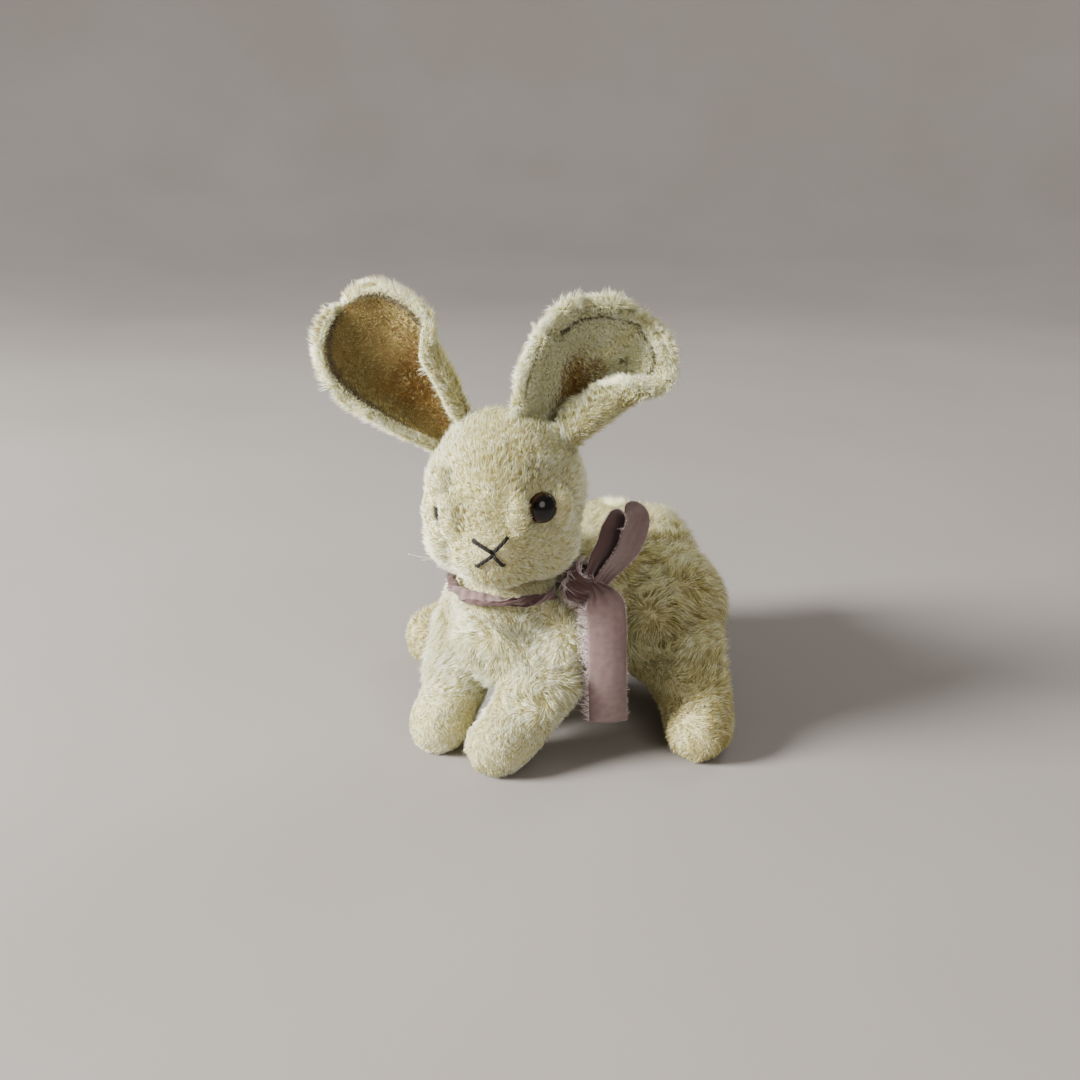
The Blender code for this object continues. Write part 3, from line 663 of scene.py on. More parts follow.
def make_body():
    panels = ["body_side_left", "body_side_right", "belly_gusset"]
    _, skin = pelt("body_plush", "body", panels, ["body_stuffing", "body_disc", "body_washer"], 0.9)
    draw = np.random.default_rng(SEED)

    def density(places, normals):
        from_axis = np.linalg.norm((places - NECK)[:, :2], axis=1)
        hidden = (from_axis < 10) & (places[:, 2] > 44)
        under_foot = (normals[:, 2] < -0.8) & (places[:, 2] < 1.0)
        return np.where(hidden, 0.3, np.where(under_foot, 1.5, 6.5))

    roots, normals, _, _ = scatter(skin, density, draw)
    x, y, z = roots.T
    back = ramp(y, 14, 40)
    low = 1 - ramp(z, 8, 26)
    flow = [0.25 * np.tanh(x / 8), 0.9 * back - 0.2 * low * (1 - back), -0.45 - 0.5 * low]
    flow = np.stack(flow, axis=1)
    flow += 0.75 * ripple_vectors(roots, 9, 20)
    band = np.linalg.norm((roots - NECK)[:, :2], axis=1)
    near_band = (1 - ramp(np.abs(z - BAND_Z), 2.5, 6)) * (1 - ramp(band, 17, 21))
    length = (4.3 + 0.9 * back + 0.8 * ripples(roots, 14, 31)) * (1 - 0.55 * low) * (1 - 0.5 * near_band)
    lift = 0.34 + 0.1 * ripples(roots, 6, 37)
    warm = ramp(ripples(roots, 16, 41), -0.2, 1.0)
    # side marks the flanks; the straw, honey and olive that it adds are painted shade on them, darker the
    # more they face sideways.
    side = back * ramp(np.abs(normals[:, 0]), 0.3, 0.9)
    # The straw and honey added low at the back are painted shade on the hind paws.
    weights = {
        # The whiter front is partly the mohair's own paler chest and partly painted light.
        "white": 2.6 - 2.45 * back - 1.2 * low * (1 - back),
        "ivory": 0.5 - 0.2 * side,
        "cream": 0.15 + 0.45 * back,
        "straw": 0.03 + 0.15 * warm + (0.15 + 0.45 * side + 0.8 * low) * back,
        "honey": 0.03 + 0.1 * warm * back + 0.2 * side + 0.3 * low * back,
        "olive": 0.02 + 0.3 * side,
        "orange": 0.4 * bump(roots, (40, 76, 30), 9) + 0.2 * bump(roots, (38, 72, 20), 7),
    }
    grow("body_fur", "body", roots, normals, flow, length, lift, weights, draw, clump=0.62)
    return skin


def make_tail():
    _, skin = pelt("tail_plush", "body", ["tail_cover"], ["tail_stuffing"], 0.8)
    draw = np.random.default_rng(SEED + 1)
    roots, normals, _, _ = scatter(skin, lambda places, _: np.where(places[:, 1] < 88, 0.5, 8.0), draw)
    flow = np.array((0, 1.0, -0.3)) + 0.8 * ripple_vectors(roots, 6, 50)
    weights = {"white": 0.6, "ivory": 0.5, "cream": 0.3, "straw": 0.1}
    grow("tail_fur", "body", roots, normals, flow, 5.0, 0.5, weights, draw, clump=0.6)


def eye_places():
    """Each glass eye's centre and outward direction, in the toy's frame."""
    places = {}
    for name, eye in EYES.items():
        low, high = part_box(f"eye_{name}")
        centre = np.array((low + high) / 2) / MM - ORIGIN
        outward = face_direction(math.radians(eye["turn"]), math.radians(eye["lift"]))
        places[name] = (centre, turned(outward, HEAD_TURN))
    return places


def by_eye(points, name, eyes):
    """Points as seen from an eye: how far out from the face's middle, up, and forwards."""
    centre, outward = eyes[name]
    local = (points - centre) @ np.array(facing(outward).to_3x3())
    return local * (np.sign(EYES[name]["turn"]), 1, 1)


def facing(direction):
    """The rotation that turns +Z to a direction, with +Y upwards."""
    return Vector(direction).to_track_quat("Z", "Y").to_matrix().to_4x4()


def make_head(eyes):
    panels = ["head_side_left", "head_side_right", "head_gusset"]
    fillers = ["head_stuffing", "head_disc", "head_washer"]
    padding = []
    for name, (centre, outward) in eyes.items():
        turn = facing(outward)
        side = np.sign(EYES[name]["turn"])
        padding.append((centre - outward * 2.4, (4.9, 4.9, 2.4), turn))
        for out, up, forward in EYES[name]["lids"]:
            lid = np.array(turn.to_3x3() @ Vector((side * out, up, forward)))
            padding.append((centre + lid, LID, turn))
    _, skin = pelt("head_plush", "head", panels, fillers, 0.7, padding)
    draw = np.random.default_rng(SEED + 2)

    def density(places, normals):
        local = to_head(places)
        hidden = (np.linalg.norm(local[:, :2], axis=1) < 13) & (local[:, 2] < 4)
        amount = np.where(hidden, 0.3, 8.5)
        for name in eyes:
            out, up, forward = by_eye(places, name, eyes).T
            bare = (np.hypot(out, up) < EYE_RADIUS - 0.2) & (forward > -4)
            for lid_out, lid_up, _ in EYES[name]["lids"]:
                bare &= np.hypot((out - lid_out) / LID[0], (up - lid_up) / LID[1]) > 1
            amount = np.where(bare, 0.0, amount)
        return amount

    roots, normals, _, _ = scatter(skin, density, draw)
    local = to_head(roots)
    nose = np.array((0.3, -27, 14))
    away = local - nose
    from_nose = np.linalg.norm(away, axis=1)
    flow = unit(away) + np.array((0, 0.25, 0.35)) * ramp(local[:, 2], 14, 30)[:, None]
    flow += 0.45 * ripple_vectors(local, 7, 60)
    face = 1 - ramp(local[:, 1], -14, 2)
    length = 3.6 - 1.2 * face + 0.4 * ripples(local, 9, 64)
    length = length * (0.5 + 0.5 * ramp(from_nose, 3, 11))
    lift = 0.36 + 0.08 * ripples(local, 6, 67)
    chin = 1 - ramp(local[:, 2], 2, 6)
    length = length * (1 - 0.45 * chin)
    flow = turned(flow, HEAD_TURN)
    grey = np.zeros(len(roots))
    for name, (centre, _) in eyes.items():
        out, up, _ = by_eye(roots, name, eyes).T
        off_axis = np.linalg.norm(roots - centre, axis=1)
        length = length * (1 - 0.45 * (1 - ramp(off_axis, 4.4, 7.5)))
        grey += 3.0 * (1 - ramp(off_axis, 4.2, 6.6)) * ramp(-out, 0.0, 3.0) * (1 - ramp(up, -1.0, 2.0))
        grey += 1.3 * bump(roots, centre + np.array((-1.0, 0, 8.5)), 5.0)
    white = ramp(np.abs(local[:, 0]), 7, 13) + 0.8 * (1 - ramp(local[:, 2], 8, 14))
    bridge = (1 - ramp(np.abs(local[:, 0]), 3, 10)) * face
    warm = ramp(ripples(local, 9, 71), 0, 1.2)
    weights = {
        "white": 0.45 + 1.1 * white,
        "ivory": 0.55,
        "cream": 0.25 + 0.4 * bridge,
        "straw": 0.08 + 0.5 * bridge * ramp(local[:, 2], 12, 20) * (0.5 + warm),
        "honey": 0.02 + 0.22 * bump(local, (6.5, -22, 17), 6) + 0.12 * bump(local, (-7, -22, 13), 5),
        "olive": 0.03,
        "orange": 0.25 * bump(local, (0.3, -27, 10.5), 2.2),
        "grey": grey,
        "dark": 0.25 * grey * ramp(grey, 0.6, 1.2),
    }
    grow("head_fur", "head", roots, normals, flow, length, lift, weights, draw, clump=0.5, every=11)
    return skin


# Ears

def ear_half_width(along, ear):
    gather = ear["gather"]
    narrow = gather + (1 - gather) * np.sin(math.pi / 2 * np.minimum(along / 0.6, 1))
    tip = np.sqrt(np.clip(1 - ((along - 0.6) / 0.4) ** 2, 0, 1))
    return ear["half_width"] * np.where(along < 0.6, narrow, tip)


def ear_grid(ear, rows=46, columns=61):
    """The ear's middle surface as a grid of points in the toy's frame, with each point's
    place along the ear and across it, from -1 to 1.

    Each row is an arc, flatter on one side by spread and folded over by roll on the other.
    """
    along = 0.998 * np.sin(math.pi / 2 * np.linspace(0, 1, rows))
    across = np.linspace(-1, 1, columns)
    half_width = ear_half_width(along, ear)[:, None]
    curl = np.radians(115 - 52 * along)[:, None]
    folding = (ramp(along, -0.05, 0.15) * (1 - ramp(along, 0.45, ear["roll_end"])))[:, None]
    edge = ramp(across, 0.35, 0.95)[None]
    angle = curl * np.where(across < 0, ear["spread"] * across, across)
    angle = angle + np.radians(ear["roll"]) * folding * edge
    step = 2 / (columns - 1)
    middle = columns // 2

    def summed(values):
        total = np.cumsum((values[:, 1:] + values[:, :-1]) / 2, axis=1)
        total = np.concatenate([np.zeros((rows, 1)), total], axis=1)
        return (total - total[:, middle:middle + 1]) * step * half_width

    sideways, forward = summed(np.cos(angle)), summed(np.sin(angle))
    back = 3.0 * np.sin(math.pi * along) - ear["nod"] * along ** 3
    size = (rows, columns)
    upward = np.broadcast_to((ear["length"] * along)[:, None], size)
    points = np.stack([sideways, back[:, None] - forward, upward], axis=-1)
    flat = points.reshape(-1, 3)
    points = points + 0.45 * ripple_vectors(flat, 13, 80 + round(ear["lean"])).reshape(points.shape)
    place = (Matrix.Translation(ear["base"]) @ Matrix.Rotation(math.radians(ear["lean"]), 4, "Y")
             @ Matrix.Rotation(math.radians(ear["turn"]), 4, "Z"))
    turn = np.array(place.to_3x3())
    placed = from_head(points @ turn.T + np.array(place.translation))
    return placed, np.broadcast_to(along[:, None], size), np.broadcast_to(across, size)


def from_rim(along, across, ear):
    """How far a point of the ear is from its rim, in millimetres."""
    half_width = ear_half_width(along, ear)
    side = (1 - np.abs(across)) * half_width
    return np.where(along > 0.6, np.minimum(side, side * 0.5 + (1 - along) * ear["length"]), side)


def smoke_band(ear, rim_place, along, wander):
    """The airbrushed line just inside the rim: 1 on it and 0 off it."""
    near, far = ear["smoke"]
    started = ramp(rim_place, near, near + 0.7)
    ended = ramp(rim_place, far - 0.3, far + 0.9 + 0.7 * wander)
    return started * (1 - ended) * ramp(along, ear["smoke_from"], ear["smoke_from"] + 0.18)


def make_ear(side, ear):
    """An ear: a lining leaf and a back leaf, each with its fur, and the long fur of the rim."""
    grid, along, across = ear_grid(ear)
    draw = np.random.default_rng(SEED + round(abs(ear["lean"])))
    rim_place = from_rim(along, across, ear)
    # Painted shade in the ear's hollow, growing inwards from the rim and fading towards the tip.
    hollow_shade = ramp(rim_place, *ear["hollow_shade"]) * (1 - ramp(along, 0.35, 0.7))
    band = smoke_band(ear, rim_place, along, 0)
    thick = (0.25 + 0.9 * ramp(rim_place, 0, 3.5))[..., None]
    for piece, inner, outer, look in (("lining", 0.08 + thick, 0.08, "lining"),
                                      ("back", -0.08, -0.08 - thick, "backing")):
        points, faces, _ = leaf(grid, inner, outer)
        facts = {"hollow_shade": np.tile(hollow_shade.ravel(), 2), "band": np.tile(0.8 * band.ravel(), 2),
                 "pale": np.full(2 * hollow_shade.size, ear["pale"])}
        made = new_piece(f"ear_{piece}_plush_{side}", points, faces, [materials[look]], "head",
                         facts=facts)
        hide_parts(f"ear_{piece}_{side}")
    normals = grid_normals(grid)
    quads = grid_faces(*grid.shape[:2])
    triangles = np.concatenate([quads[:, [0, 1, 2]], quads[:, [0, 2, 3]]])
    to_tip = unit(np.gradient(grid, axis=0)).reshape(-1, 3)
    outward = (unit(np.gradient(grid, axis=1)) * np.sign(across)[..., None]).reshape(-1, 3)
    facts = np.stack([along.ravel(), across.ravel(), rim_place.ravel(), hollow_shade.ravel()], axis=1)

    for piece, sign in (("lining", 1), ("back", -1)):
        skin = Skin((grid + normals * sign * thick).reshape(-1, 3), normals.reshape(-1, 3) * sign,
                    triangles if sign > 0 else triangles[:, ::-1])
        strands = 14.0 + 5.0 * ear["pale"] if piece == "lining" else 9.0

        def density(places, _):
            return np.full(len(places), strands)

        roots, root_normals, corner, weights = scatter(skin, density, draw)
        a, s, rim, depth = np.einsum("ij,ijk->ik", weights, facts[corner]).T
        tipward = np.einsum("ij,ijk->ik", weights, to_tip[corner])
        outer = np.einsum("ij,ijk->ik", weights, outward[corner])
        wander = ripples(roots, 8, 90)
        edge = 1 - ramp(rim, 0.5, 3.5)
        if piece == "back":
            flow = tipward * 0.7 + outer * (0.3 + 0.9 * edge)[:, None]
            flow += 0.4 * ripple_vectors(roots, 6, 91)
            length = 3.2 + 1.0 * edge + 0.4 * wander
            tints = {"white": 0.3 + 0.6 * edge, "ivory": 0.5, "cream": 0.45,
                     "straw": 0.2 + 0.2 * wander, "olive": 0.05}
            grow(f"ear_back_fur_{side}", "head", roots, root_normals, flow, length, 0.38, tints, draw,
                 clump=0.6)
        else:
            band = smoke_band(ear, rim, a, wander)
            flow = tipward * 0.4 + outer * 0.8 + 0.3 * ripple_vectors(roots, 5, 93)
            length = 1.3 + 1.5 * ear["pale"] * (1 - 0.6 * depth) + 0.2 * wander
            # pale is the white of the rim's own fur and, on the left ear, painted light on its lit lining;
            # depth brings painted shade into the hollow through the brown, the orange and some of the
            # honey.
            pale = np.maximum(1 - ramp(rim, 0.6, 2.0), ear["pale"] * (1 - depth))
            tints = {
                "white": 1.5 * pale,
                "ivory": 0.02 + 1.0 * pale,
                "cream": 0.15 * (1 - depth) + 0.3 * pale,
                "straw": 0.35 * (1 - 0.9 * pale),
                "honey": (0.6 + 0.1 * depth) * (1 - 0.95 * pale),
                "brown": (0.25 + 1.4 * depth) * (1 - 0.95 * pale),
                "olive": 0.12 * (1 - pale),
                "orange": 0.3 * depth ** 2,
                "grey": 2.6 * band ** 2,
                "dark": 2.2 * band ** 2 * ramp(wander, -1.6, 0.6),
            }
            for name in ("white", "ivory", "cream", "straw"):
                tints[name] = tints[name] * (1 - 0.7 * band)
            grow(f"ear_lining_fur_{side}", "head", roots, root_normals, flow, length,
                 0.6 - 0.22 * ear["pale"], tints, draw, clump=0.45, every=8,
                 width=0.85 + 0.25 * ear["pale"])

    make_rim_fur(side, grid, normals, ear["rim"], draw)


def make_rim_fur(side, grid, normals, reach, draw):
    """The longest, whitest hair, which stands out round the ear's edge."""
    loop = np.concatenate([grid[:, 0], grid[-1, 1:-1], grid[::-1, -1]])
    inner = np.concatenate([grid[:, 2], grid[-4, 1:-1], grid[::-1, -3]])
    back = -np.concatenate([normals[:, 0], normals[-1, 1:-1], normals[::-1, -1]])
    lengths = np.linalg.norm(np.diff(loop, axis=0), axis=1)
    share = np.cumsum(lengths)
    count = int(share[-1] * 75 * FUR_SHARE)
    place = draw.random(count) * share[-1]
    segment = np.minimum(np.searchsorted(share, place), len(lengths) - 1)
    part = draw.random(count)[:, None]

    def at(values):
        return values[segment] * (1 - part) + values[segment + 1] * part

    edge, away, behind = at(loop), unit(at(loop) - at(inner)), unit(at(back))
    depth = draw.uniform(-0.5, 0.5, (count, 1))
    roots = edge - away * draw.uniform(0, 0.7, (count, 1)) + behind * depth
    heading = unit(away + behind * (0.2 + depth))
    along = unit(at(np.gradient(loop, axis=0)))
    flow = along * ripples(edge, 5, 97)[:, None] + 0.3 * ripple_vectors(edge, 6, 98)
    length = (reach + 0.25 * reach * ripples(edge, 7, 99)) * (1 - 0.5 * ramp(-depth[:, 0], -0.2, 0.5))
    weights = {"white": 0.8, "ivory": 0.5, "cream": 0.3, "straw": 0.08}
    grow(f"ear_rim_fur_{side}", "head", roots, heading, flow, length, 0.62, weights, draw, rings=3,
         clump=0.5, every=12)


# The face

def make_eye(name, centre, outward):
    """A glass eye: a flattened ball. Its attribute runs from 0 at the pupil's middle to 1 at the edge."""
    rings, sides = 40, 64
    polar = np.linspace(0.02, math.pi - 0.02, rings)[:, None]
    round_ = np.arange(sides) * math.tau / sides
    from_axis = EYE_RADIUS * np.sin(polar)
    forward = np.broadcast_to(EYE_DEPTH * np.cos(polar), (rings, sides))
    local = np.stack([from_axis * np.cos(round_), from_axis * np.sin(round_), forward], axis=-1)
    turn = np.array(facing(outward).to_3x3())
    points = local.reshape(-1, 3) @ turn.T + centre
    points = np.vstack([points, centre + turn @ (0, 0, EYE_DEPTH), centre - turn @ (0, 0, EYE_DEPTH)])
    index = np.arange(rings * sides).reshape(rings, sides)
    following = np.roll(index, -1, axis=1)
    quads = np.stack([index[:-1], index[1:], following[1:], following[:-1]], axis=-1).reshape(-1, 4)
    front = np.stack([index[0], following[0], np.full(sides, rings * sides)], axis=1)
    back = np.stack([following[-1], index[-1], np.full(sides, rings * sides + 1)], axis=1)
    faces = np.concatenate([quads[:, [0, 1, 2]], quads[:, [0, 2, 3]], front, back])
    off_axis = np.concatenate([np.repeat(np.clip(polar.ravel() / (math.pi / 2), 0, 1), sides), (0, 1)])
    made = new_piece(f"glass_eye_{name}", points, faces, [materials["eye"]], "head",
                     facts={"off_axis": off_axis})
    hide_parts(f"eye_{name}")


def floss_stroke(tree, start, end, height):
    """One stitched stroke on the face: four strands of floss laid together and lightly twisted."""
    middle, normals = [], []
    inward = turned(np.array((0, 1.0, 0)), HEAD_TURN)
    for x, z in np.linspace(start, end, 30):
        before = from_head((NOSE_CENTRE[0] + x, -60, NOSE_CENTRE[1] + z))
        place, normal, _, _ = tree.ray_cast(Vector(before), Vector(inward))
        middle.append(np.array(place) + np.array(normal) * height)
        normals.append(np.array(normal))
    middle, normal = np.array(middle), np.array(normals)
    length = lengths_along(middle)
    dip = 1.0 - ramp(np.minimum(length, length[-1] - length), 0, 1.2)
    middle -= normal * (dip * height * 0.9)[:, None]
    side = unit(np.cross(np.gradient(middle, axis=0), normal))
    parts = []
    for strand in range(4):
        angle = math.tau * strand / 4 + length * FLOSS_TWIST
        offset = side * (FLOSS_SPREAD[0] * np.cos(angle))[:, None]
        offset = offset + normal * (FLOSS_SPREAD[1] * np.sin(angle))[:, None]
        parts.append(tube(middle + offset, FLOSS_STRAND, sides=7))
    return joined_parts(parts)


def make_stitches(tree):
    for name, strokes in STROKES.items():
        points, faces = joined_parts([floss_stroke(tree, *stroke) for stroke in strokes])
        made = new_piece(f"{name}_floss", points, faces, [materials["floss"]], "head")
        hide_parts(f"{name}_stitches")


def make_whisker(tree):
    outward = turned(face_direction(WHISKER_TURN, WHISKER_LIFT), HEAD_TURN)
    centre = from_head(FACE_CENTRE)
    place, _, _, _ = tree.ray_cast(Vector(centre + outward * 60), Vector(-outward))
    way = turned(np.array(WHISKER_WAY), HEAD_TURN)
    steps = np.linspace(0, 1, 24)[:, None]
    parts = []
    for bend, reach in WHISKER_HAIRS:
        path = np.array(place) + way * (reach * steps - 0.5) + np.array((0, 0, bend)) * steps ** 2
        parts.append(tube(path, np.linspace(0.24, 0.1, 24), sides=6))
    points, faces = joined_parts(parts)
    made = new_piece("whisker_bristles", points, faces, [materials["bristle"]], "head")
    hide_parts("whisker")


# The ribbon

def ribbon_piece(name, grid, replaced):
    """A length of ribbon over a grid whose rows run along it."""
    points, faces, reverse = leaf(grid, CLOTH_HALF, -CLOTH_HALF)
    rows, columns = grid.shape[:2]
    length = lengths_along(grid[:, columns // 2])
    u = np.broadcast_to(np.linspace(0, RIBBON_WIDTH, columns)[None], (rows, columns))
    v = np.broadcast_to(length[:, None], (rows, columns))
    flat_uv = np.tile(np.stack([u.ravel(), v.ravel()], axis=1), (2, 1))
    made = new_piece(name, points, faces, [materials["ribbon"]], "body", facts={"reverse": reverse},
                     flat_uv=flat_uv)
    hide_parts(replaced)


def fray(name, edges, draw, per_mm, reach):
    """Loose threads along the given edges. Each edge is (points along it, points just inside it)."""
    roots, headings, along = [], [], []
    for edge, inner in edges:
        count = int(np.linalg.norm(np.diff(edge, axis=0), axis=1).sum() * per_mm)
        place = draw.random(count) * (len(edge) - 1)
        start = np.minimum(place.astype(int), len(edge) - 2)
        part = (place - start)[:, None]
        point = edge[start] * (1 - part) + edge[start + 1] * part
        roots.append(point)
        headings.append(unit(point - (inner[start] * (1 - part) + inner[start + 1] * part)))
        along.append(unit(edge[start + 1] - edge[start]))
    roots, headings, along = (np.concatenate(values) for values in (roots, headings, along))
    count = len(roots)
    reach = reach * draw.uniform(0.25, 1.0, (count, 1)) ** 1.5
    drift = along * draw.normal(-0.35, 0.5, (count, 1)) + draw.normal(0, 0.3, (count, 3))
    middles = roots + headings * reach * 0.6 + drift * reach * 0.2
    tips = roots + headings * reach + drift * reach
    rings = 3
    widths = draw.uniform(0.07, 0.12, count)
    points, faces = strand_mesh(roots - headings * 0.25, middles, tips, widths, rings)
    kinds = np.repeat(draw.choice(3, count, p=(0.6, 0.28, 0.12)), 6 * rings - 2)
    made = new_piece(name, points, faces, materials["threads"], "body", kinds=kinds)


def strip_grid(path, across, rows, columns=17, cup=0.0, wave=0.0, pinch=(1.0, 1.0), seed=0):
    """A strip along a path. cup bends it across its width, wave makes it uneven, and pinch is
    how much of its width is left where it is gathered at its start and at its end."""
    line = smooth_path(path, rows)
    along = unit(np.gradient(line, axis=0))
    across = unit(np.asarray(across, float)) * np.ones((rows, 1))
    across = unit(across - along * (across * along).sum(-1, keepdims=True))
    normal = np.cross(across, along)
    length = lengths_along(line)
    gathered_to = ((pinch[0] + (1 - pinch[0]) * ramp(length, 0, GATHERED_LENGTH))
                   * (pinch[1] + (1 - pinch[1]) * ramp(length[-1] - length, 0, GATHERED_LENGTH)))
    place = np.linspace(-0.5, 0.5, columns)
    grid = line[:, None] + across[:, None] * (gathered_to[:, None] * place * RIBBON_WIDTH)[..., None]
    lifted = cup * (0.25 - place ** 2) * 4
    lifted = lifted + (1 - gathered_to[:, None]) * 1.3 * np.sin(3.5 * math.tau * place)
    lifted = lifted + wave * ripples(grid.reshape(-1, 3), 7, seed).reshape(grid.shape[:2])
    return grid + normal[:, None] * lifted[..., None]


def band_grid(rows=260, columns=41):
    """The scrunched turn round the neck: the ribbon's width pleated in three and twisted to and fro."""
    knot_angle = math.atan2(*(KNOT - NECK)[1::-1])
    angle = knot_angle + np.linspace(0.12, math.tau - 0.12, rows)[:, None]
    across = np.linspace(0, 1, columns)[None]
    drift = 0.8 * np.sin(2 * angle + 1) + 0.5 * np.sin(5 * angle)
    height = 1.5 * (1 + 0.18 * np.sin(3 * angle)) * np.cos(math.tau * 1.5 * across + drift)
    height = height + 0.14 * np.sin(math.tau * 5 * across + 4 * angle)
    depth = 1.5 * (across - 0.5) + 0.28 * np.sin(math.tau * 3 * across + 2 * drift)
    twist = 4.0 * angle + 0.8 * np.sin(3 * angle + 0.6)
    depth = depth + 0.16 * np.sin(23 * angle + 9 * across) + 0.1 * np.sin(41 * angle - 14 * across)
    sink = 0.9 * np.cos(angle - BAND_LOWEST) - 0.5
    radius = BAND_RADIUS + sink + depth * np.cos(twist) - height * np.sin(twist)
    centre_z = BAND_Z - 0.7 - 1.1 * np.cos(angle - BAND_LOWEST) + 0.3 * np.sin(4 * angle)
    return np.stack([NECK[0] + radius * np.cos(angle), NECK[1] + radius * np.sin(angle),
                     centre_z + height * np.cos(twist) + depth * np.sin(twist)], axis=-1)


def knot_grid(rows=140, columns=33):
    """The knot's wrap: a turn and a half of gathered ribbon round the bundle of the bow."""
    share = np.linspace(0, 1, rows)[:, None]
    angle = -0.6 + share * math.tau * 1.4
    across = np.linspace(-1, 1, columns)[None]
    pleats = 0.34 * np.sin(8 * across + 1.8 * np.sin(angle)) + 0.14 * np.sin(21 * across + 2 * angle)
    radius = (3.5 + 1.2 * share) * np.sqrt(1 - 0.5 * across ** 2) + pleats
    axis = unit(np.array((0.25, 0.15, 1.0)))
    first = unit(np.cross(axis, (0.8, 0.6, 0)))
    second = np.cross(axis, first)
    height = (4.3 + 0.6 * np.sin(angle * 1.3)) * across + 0.6 * np.sin(angle + 0.5)
    outward = first * np.cos(angle)[..., None] + second * np.sin(angle)[..., None]
    return KNOT + radius[..., None] * outward + axis * height[..., None]


def edges_of(grid, sides):
    """The named edges of a grid, each with the line just inside it."""
    lines = {"low": (grid[:, 0], grid[:, 1]), "high": (grid[:, -1], grid[:, -2]),
             "start": (grid[0], grid[1]), "end": (grid[-1], grid[-2])}
    return [lines[side] for side in sides]


def make_ribbon():
    draw = np.random.default_rng(SEED + 9)
    band, knot = band_grid(), knot_grid()
    loop = strip_grid(LOOP_PATH, (-0.25, -0.97, 0), 120, cup=-0.5, wave=0.25, pinch=(0.75, 0.55), seed=3)
    long_tail = strip_grid(LONG_PATH, (-0.8, -0.6, 0), 100, cup=0.9, wave=0.3, pinch=(0.35, 1), seed=4)
    short_tail = strip_grid(SHORT_PATH, (0.6, -0.8, 0), 60, cup=0.8, wave=0.3, pinch=(0.4, 1), seed=5)
    ribbon_piece("neck_ribbon", band, "ribbon_neckband")
    ribbon_piece("knot_ribbon", knot, "ribbon_knot")
    ribbon_piece("bow_loop", loop, "ribbon_loop")
    ribbon_piece("bow_tail_long", long_tail, "ribbon_tail_long")
    ribbon_piece("bow_tail_short", short_tail, "ribbon_tail_short")
    fray("long_tail_fray", edges_of(long_tail, ["high"]), draw, 24.0, 2.9)
    other_edges = edges_of(long_tail, ["low"]) + edges_of(short_tail, ["low", "high", "end"])
    fray("tail_fray", other_edges, draw, 4.0, 0.8)
    fray("knot_fray", edges_of(knot, ["low", "high", "end"]), draw, 12.0, 3.0)
    fray("loop_fray", edges_of(loop, ["low", "high"]), draw, 4.0, 0.9)


# The stage

def area_light(name, place, size, power, colour):
    light = bpy.data.lights.new(name, "AREA")
    light.shape = "DISK"
    light.size, light.energy, light.color = size, power, colour
    made = bpy.data.objects.new(name, light)
    bpy.context.scene.collection.objects.link(made)
    made.location = place
    made.rotation_euler = (Vector(LIT_POINT) - Vector(place)).to_track_quat("-Z", "Y").to_euler()


def make_stage():
    """A pale floor that curves up into a backdrop all round, a soft key from the upper left, and fill."""
    profile = [(0.0, 0.0), (0.9, 0.0), (1.15, 0.03), (1.35, 0.12), (1.5, 0.3), (1.56, 0.6), (1.58, 1.4)]
    bm = bmesh.new()
    line = [bm.verts.new((radius, 0, height)) for radius, height in profile]
    edges = [bm.edges.new(pair) for pair in zip(line, line[1:])]
    bmesh.ops.spin(bm, geom=[*line, *edges], axis=(0, 0, 1), cent=(0, 0, 0), angle=math.tau, steps=96)
    bmesh.ops.remove_doubles(bm, verts=bm.verts, dist=1e-5)
    mesh = bpy.data.meshes.new("backdrop")
    bm.to_mesh(mesh)
    bm.free()
    mesh.shade_smooth()
    mesh.materials.append(mottled("backdrop_paper", *PAPER, 6.0, 0.95, 0.0001))
    floor = bpy.data.objects.new("backdrop", mesh)
    bpy.context.scene.collection.objects.link(floor)

    for name, (place, size, power, colour) in LIGHTS.items():
        area_light(name, place, size, power, colour)
    world = bpy.data.worlds.new("studio")
    bpy.context.scene.world = world
    world.use_nodes = True
    sky = world.node_tree.nodes["Background"]
    sky.inputs["Color"].default_value = SKY
    sky.inputs["Strength"].default_value = SKY_STRENGTH


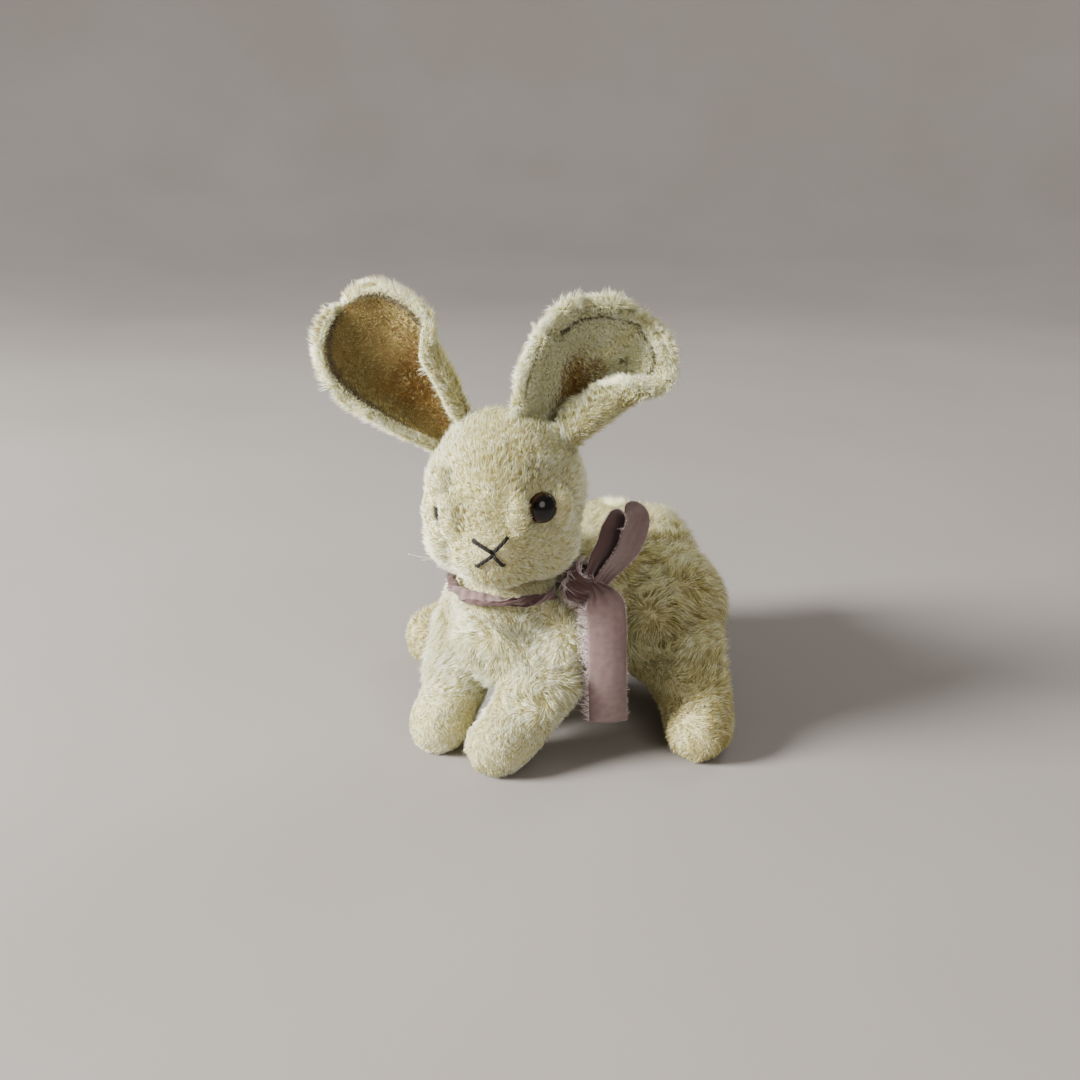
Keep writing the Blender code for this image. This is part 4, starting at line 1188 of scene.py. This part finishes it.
def make_camera():
    back = Vector(face_direction(CAMERA_TURN, CAMERA_RISE))
    data = bpy.data.cameras.new("camera")
    data.lens, data.sensor_width = CAMERA_LENS, 36
    data.clip_start = 0.01
    made = bpy.data.objects.new("camera", data)
    bpy.context.scene.collection.objects.link(made)
    made.location = (np.array(CAMERA_PLACE) + ORIGIN) * MM
    made.rotation_euler = back.to_track_quat("Z", "Y").to_euler()
    bpy.context.scene.camera = made


# Everything

materials = {
    # The backing's straw is darker than the fur's: painted shade for the depth between the strands.
    "backing": make_backing("mohair_backing", (0.76, 0.72, 0.45), (0.52, 0.46, 0.22)),
    "lining": make_lining_cloth(),
    "eye": make_eye_glass(),
    "floss": mottled("floss", (0.006, 0.005, 0.005), (0.016, 0.013, 0.012), 1500.0, 0.75),
    "bristle": mottled("bristle", (0.8, 0.78, 0.72), (0.9, 0.88, 0.84), 900.0, 0.35),
    "ribbon": make_ribbon_cloth(),
    "threads": [fibre("thread_pale", (0.80, 0.72, 0.70)), fibre("thread_pink", (0.52, 0.36, 0.38)),
                fibre("thread_mauve", (0.26, 0.13, 0.15))],
}
fur_materials = [fibre(f"fur_{name}", colour) for name, colour in TINTS.items()]

inner = {
    "stuffing": mottled("wood_wool", (0.50, 0.36, 0.17), (0.70, 0.55, 0.31), 700.0, 0.9, 0.001),
    "disc": mottled("pressed_card", (0.38, 0.26, 0.16), (0.46, 0.33, 0.21), 900.0, 0.88),
    "washer": mottled("zinc_steel", (0.50, 0.50, 0.50), (0.60, 0.59, 0.57), 500.0, 0.38, 0.00005,
                      metallic=1.0),
}
inner["pin"] = inner["shank"] = inner["washer"]
for name, obj in frame["nodes"].items():
    for word, material in inner.items():
        if word in name:
            obj.data.materials.clear()
            obj.data.materials.append(material)

eyes = eye_places()
make_body()
make_tail()
head_tree = tree_of(make_head(eyes))
for side, ear in EARS.items():
    make_ear(side, ear)
for side, (centre, outward) in eyes.items():
    make_eye(side, centre, outward)
make_stitches(head_tree)
make_whisker(head_tree)
make_ribbon()
make_stage()
make_camera()
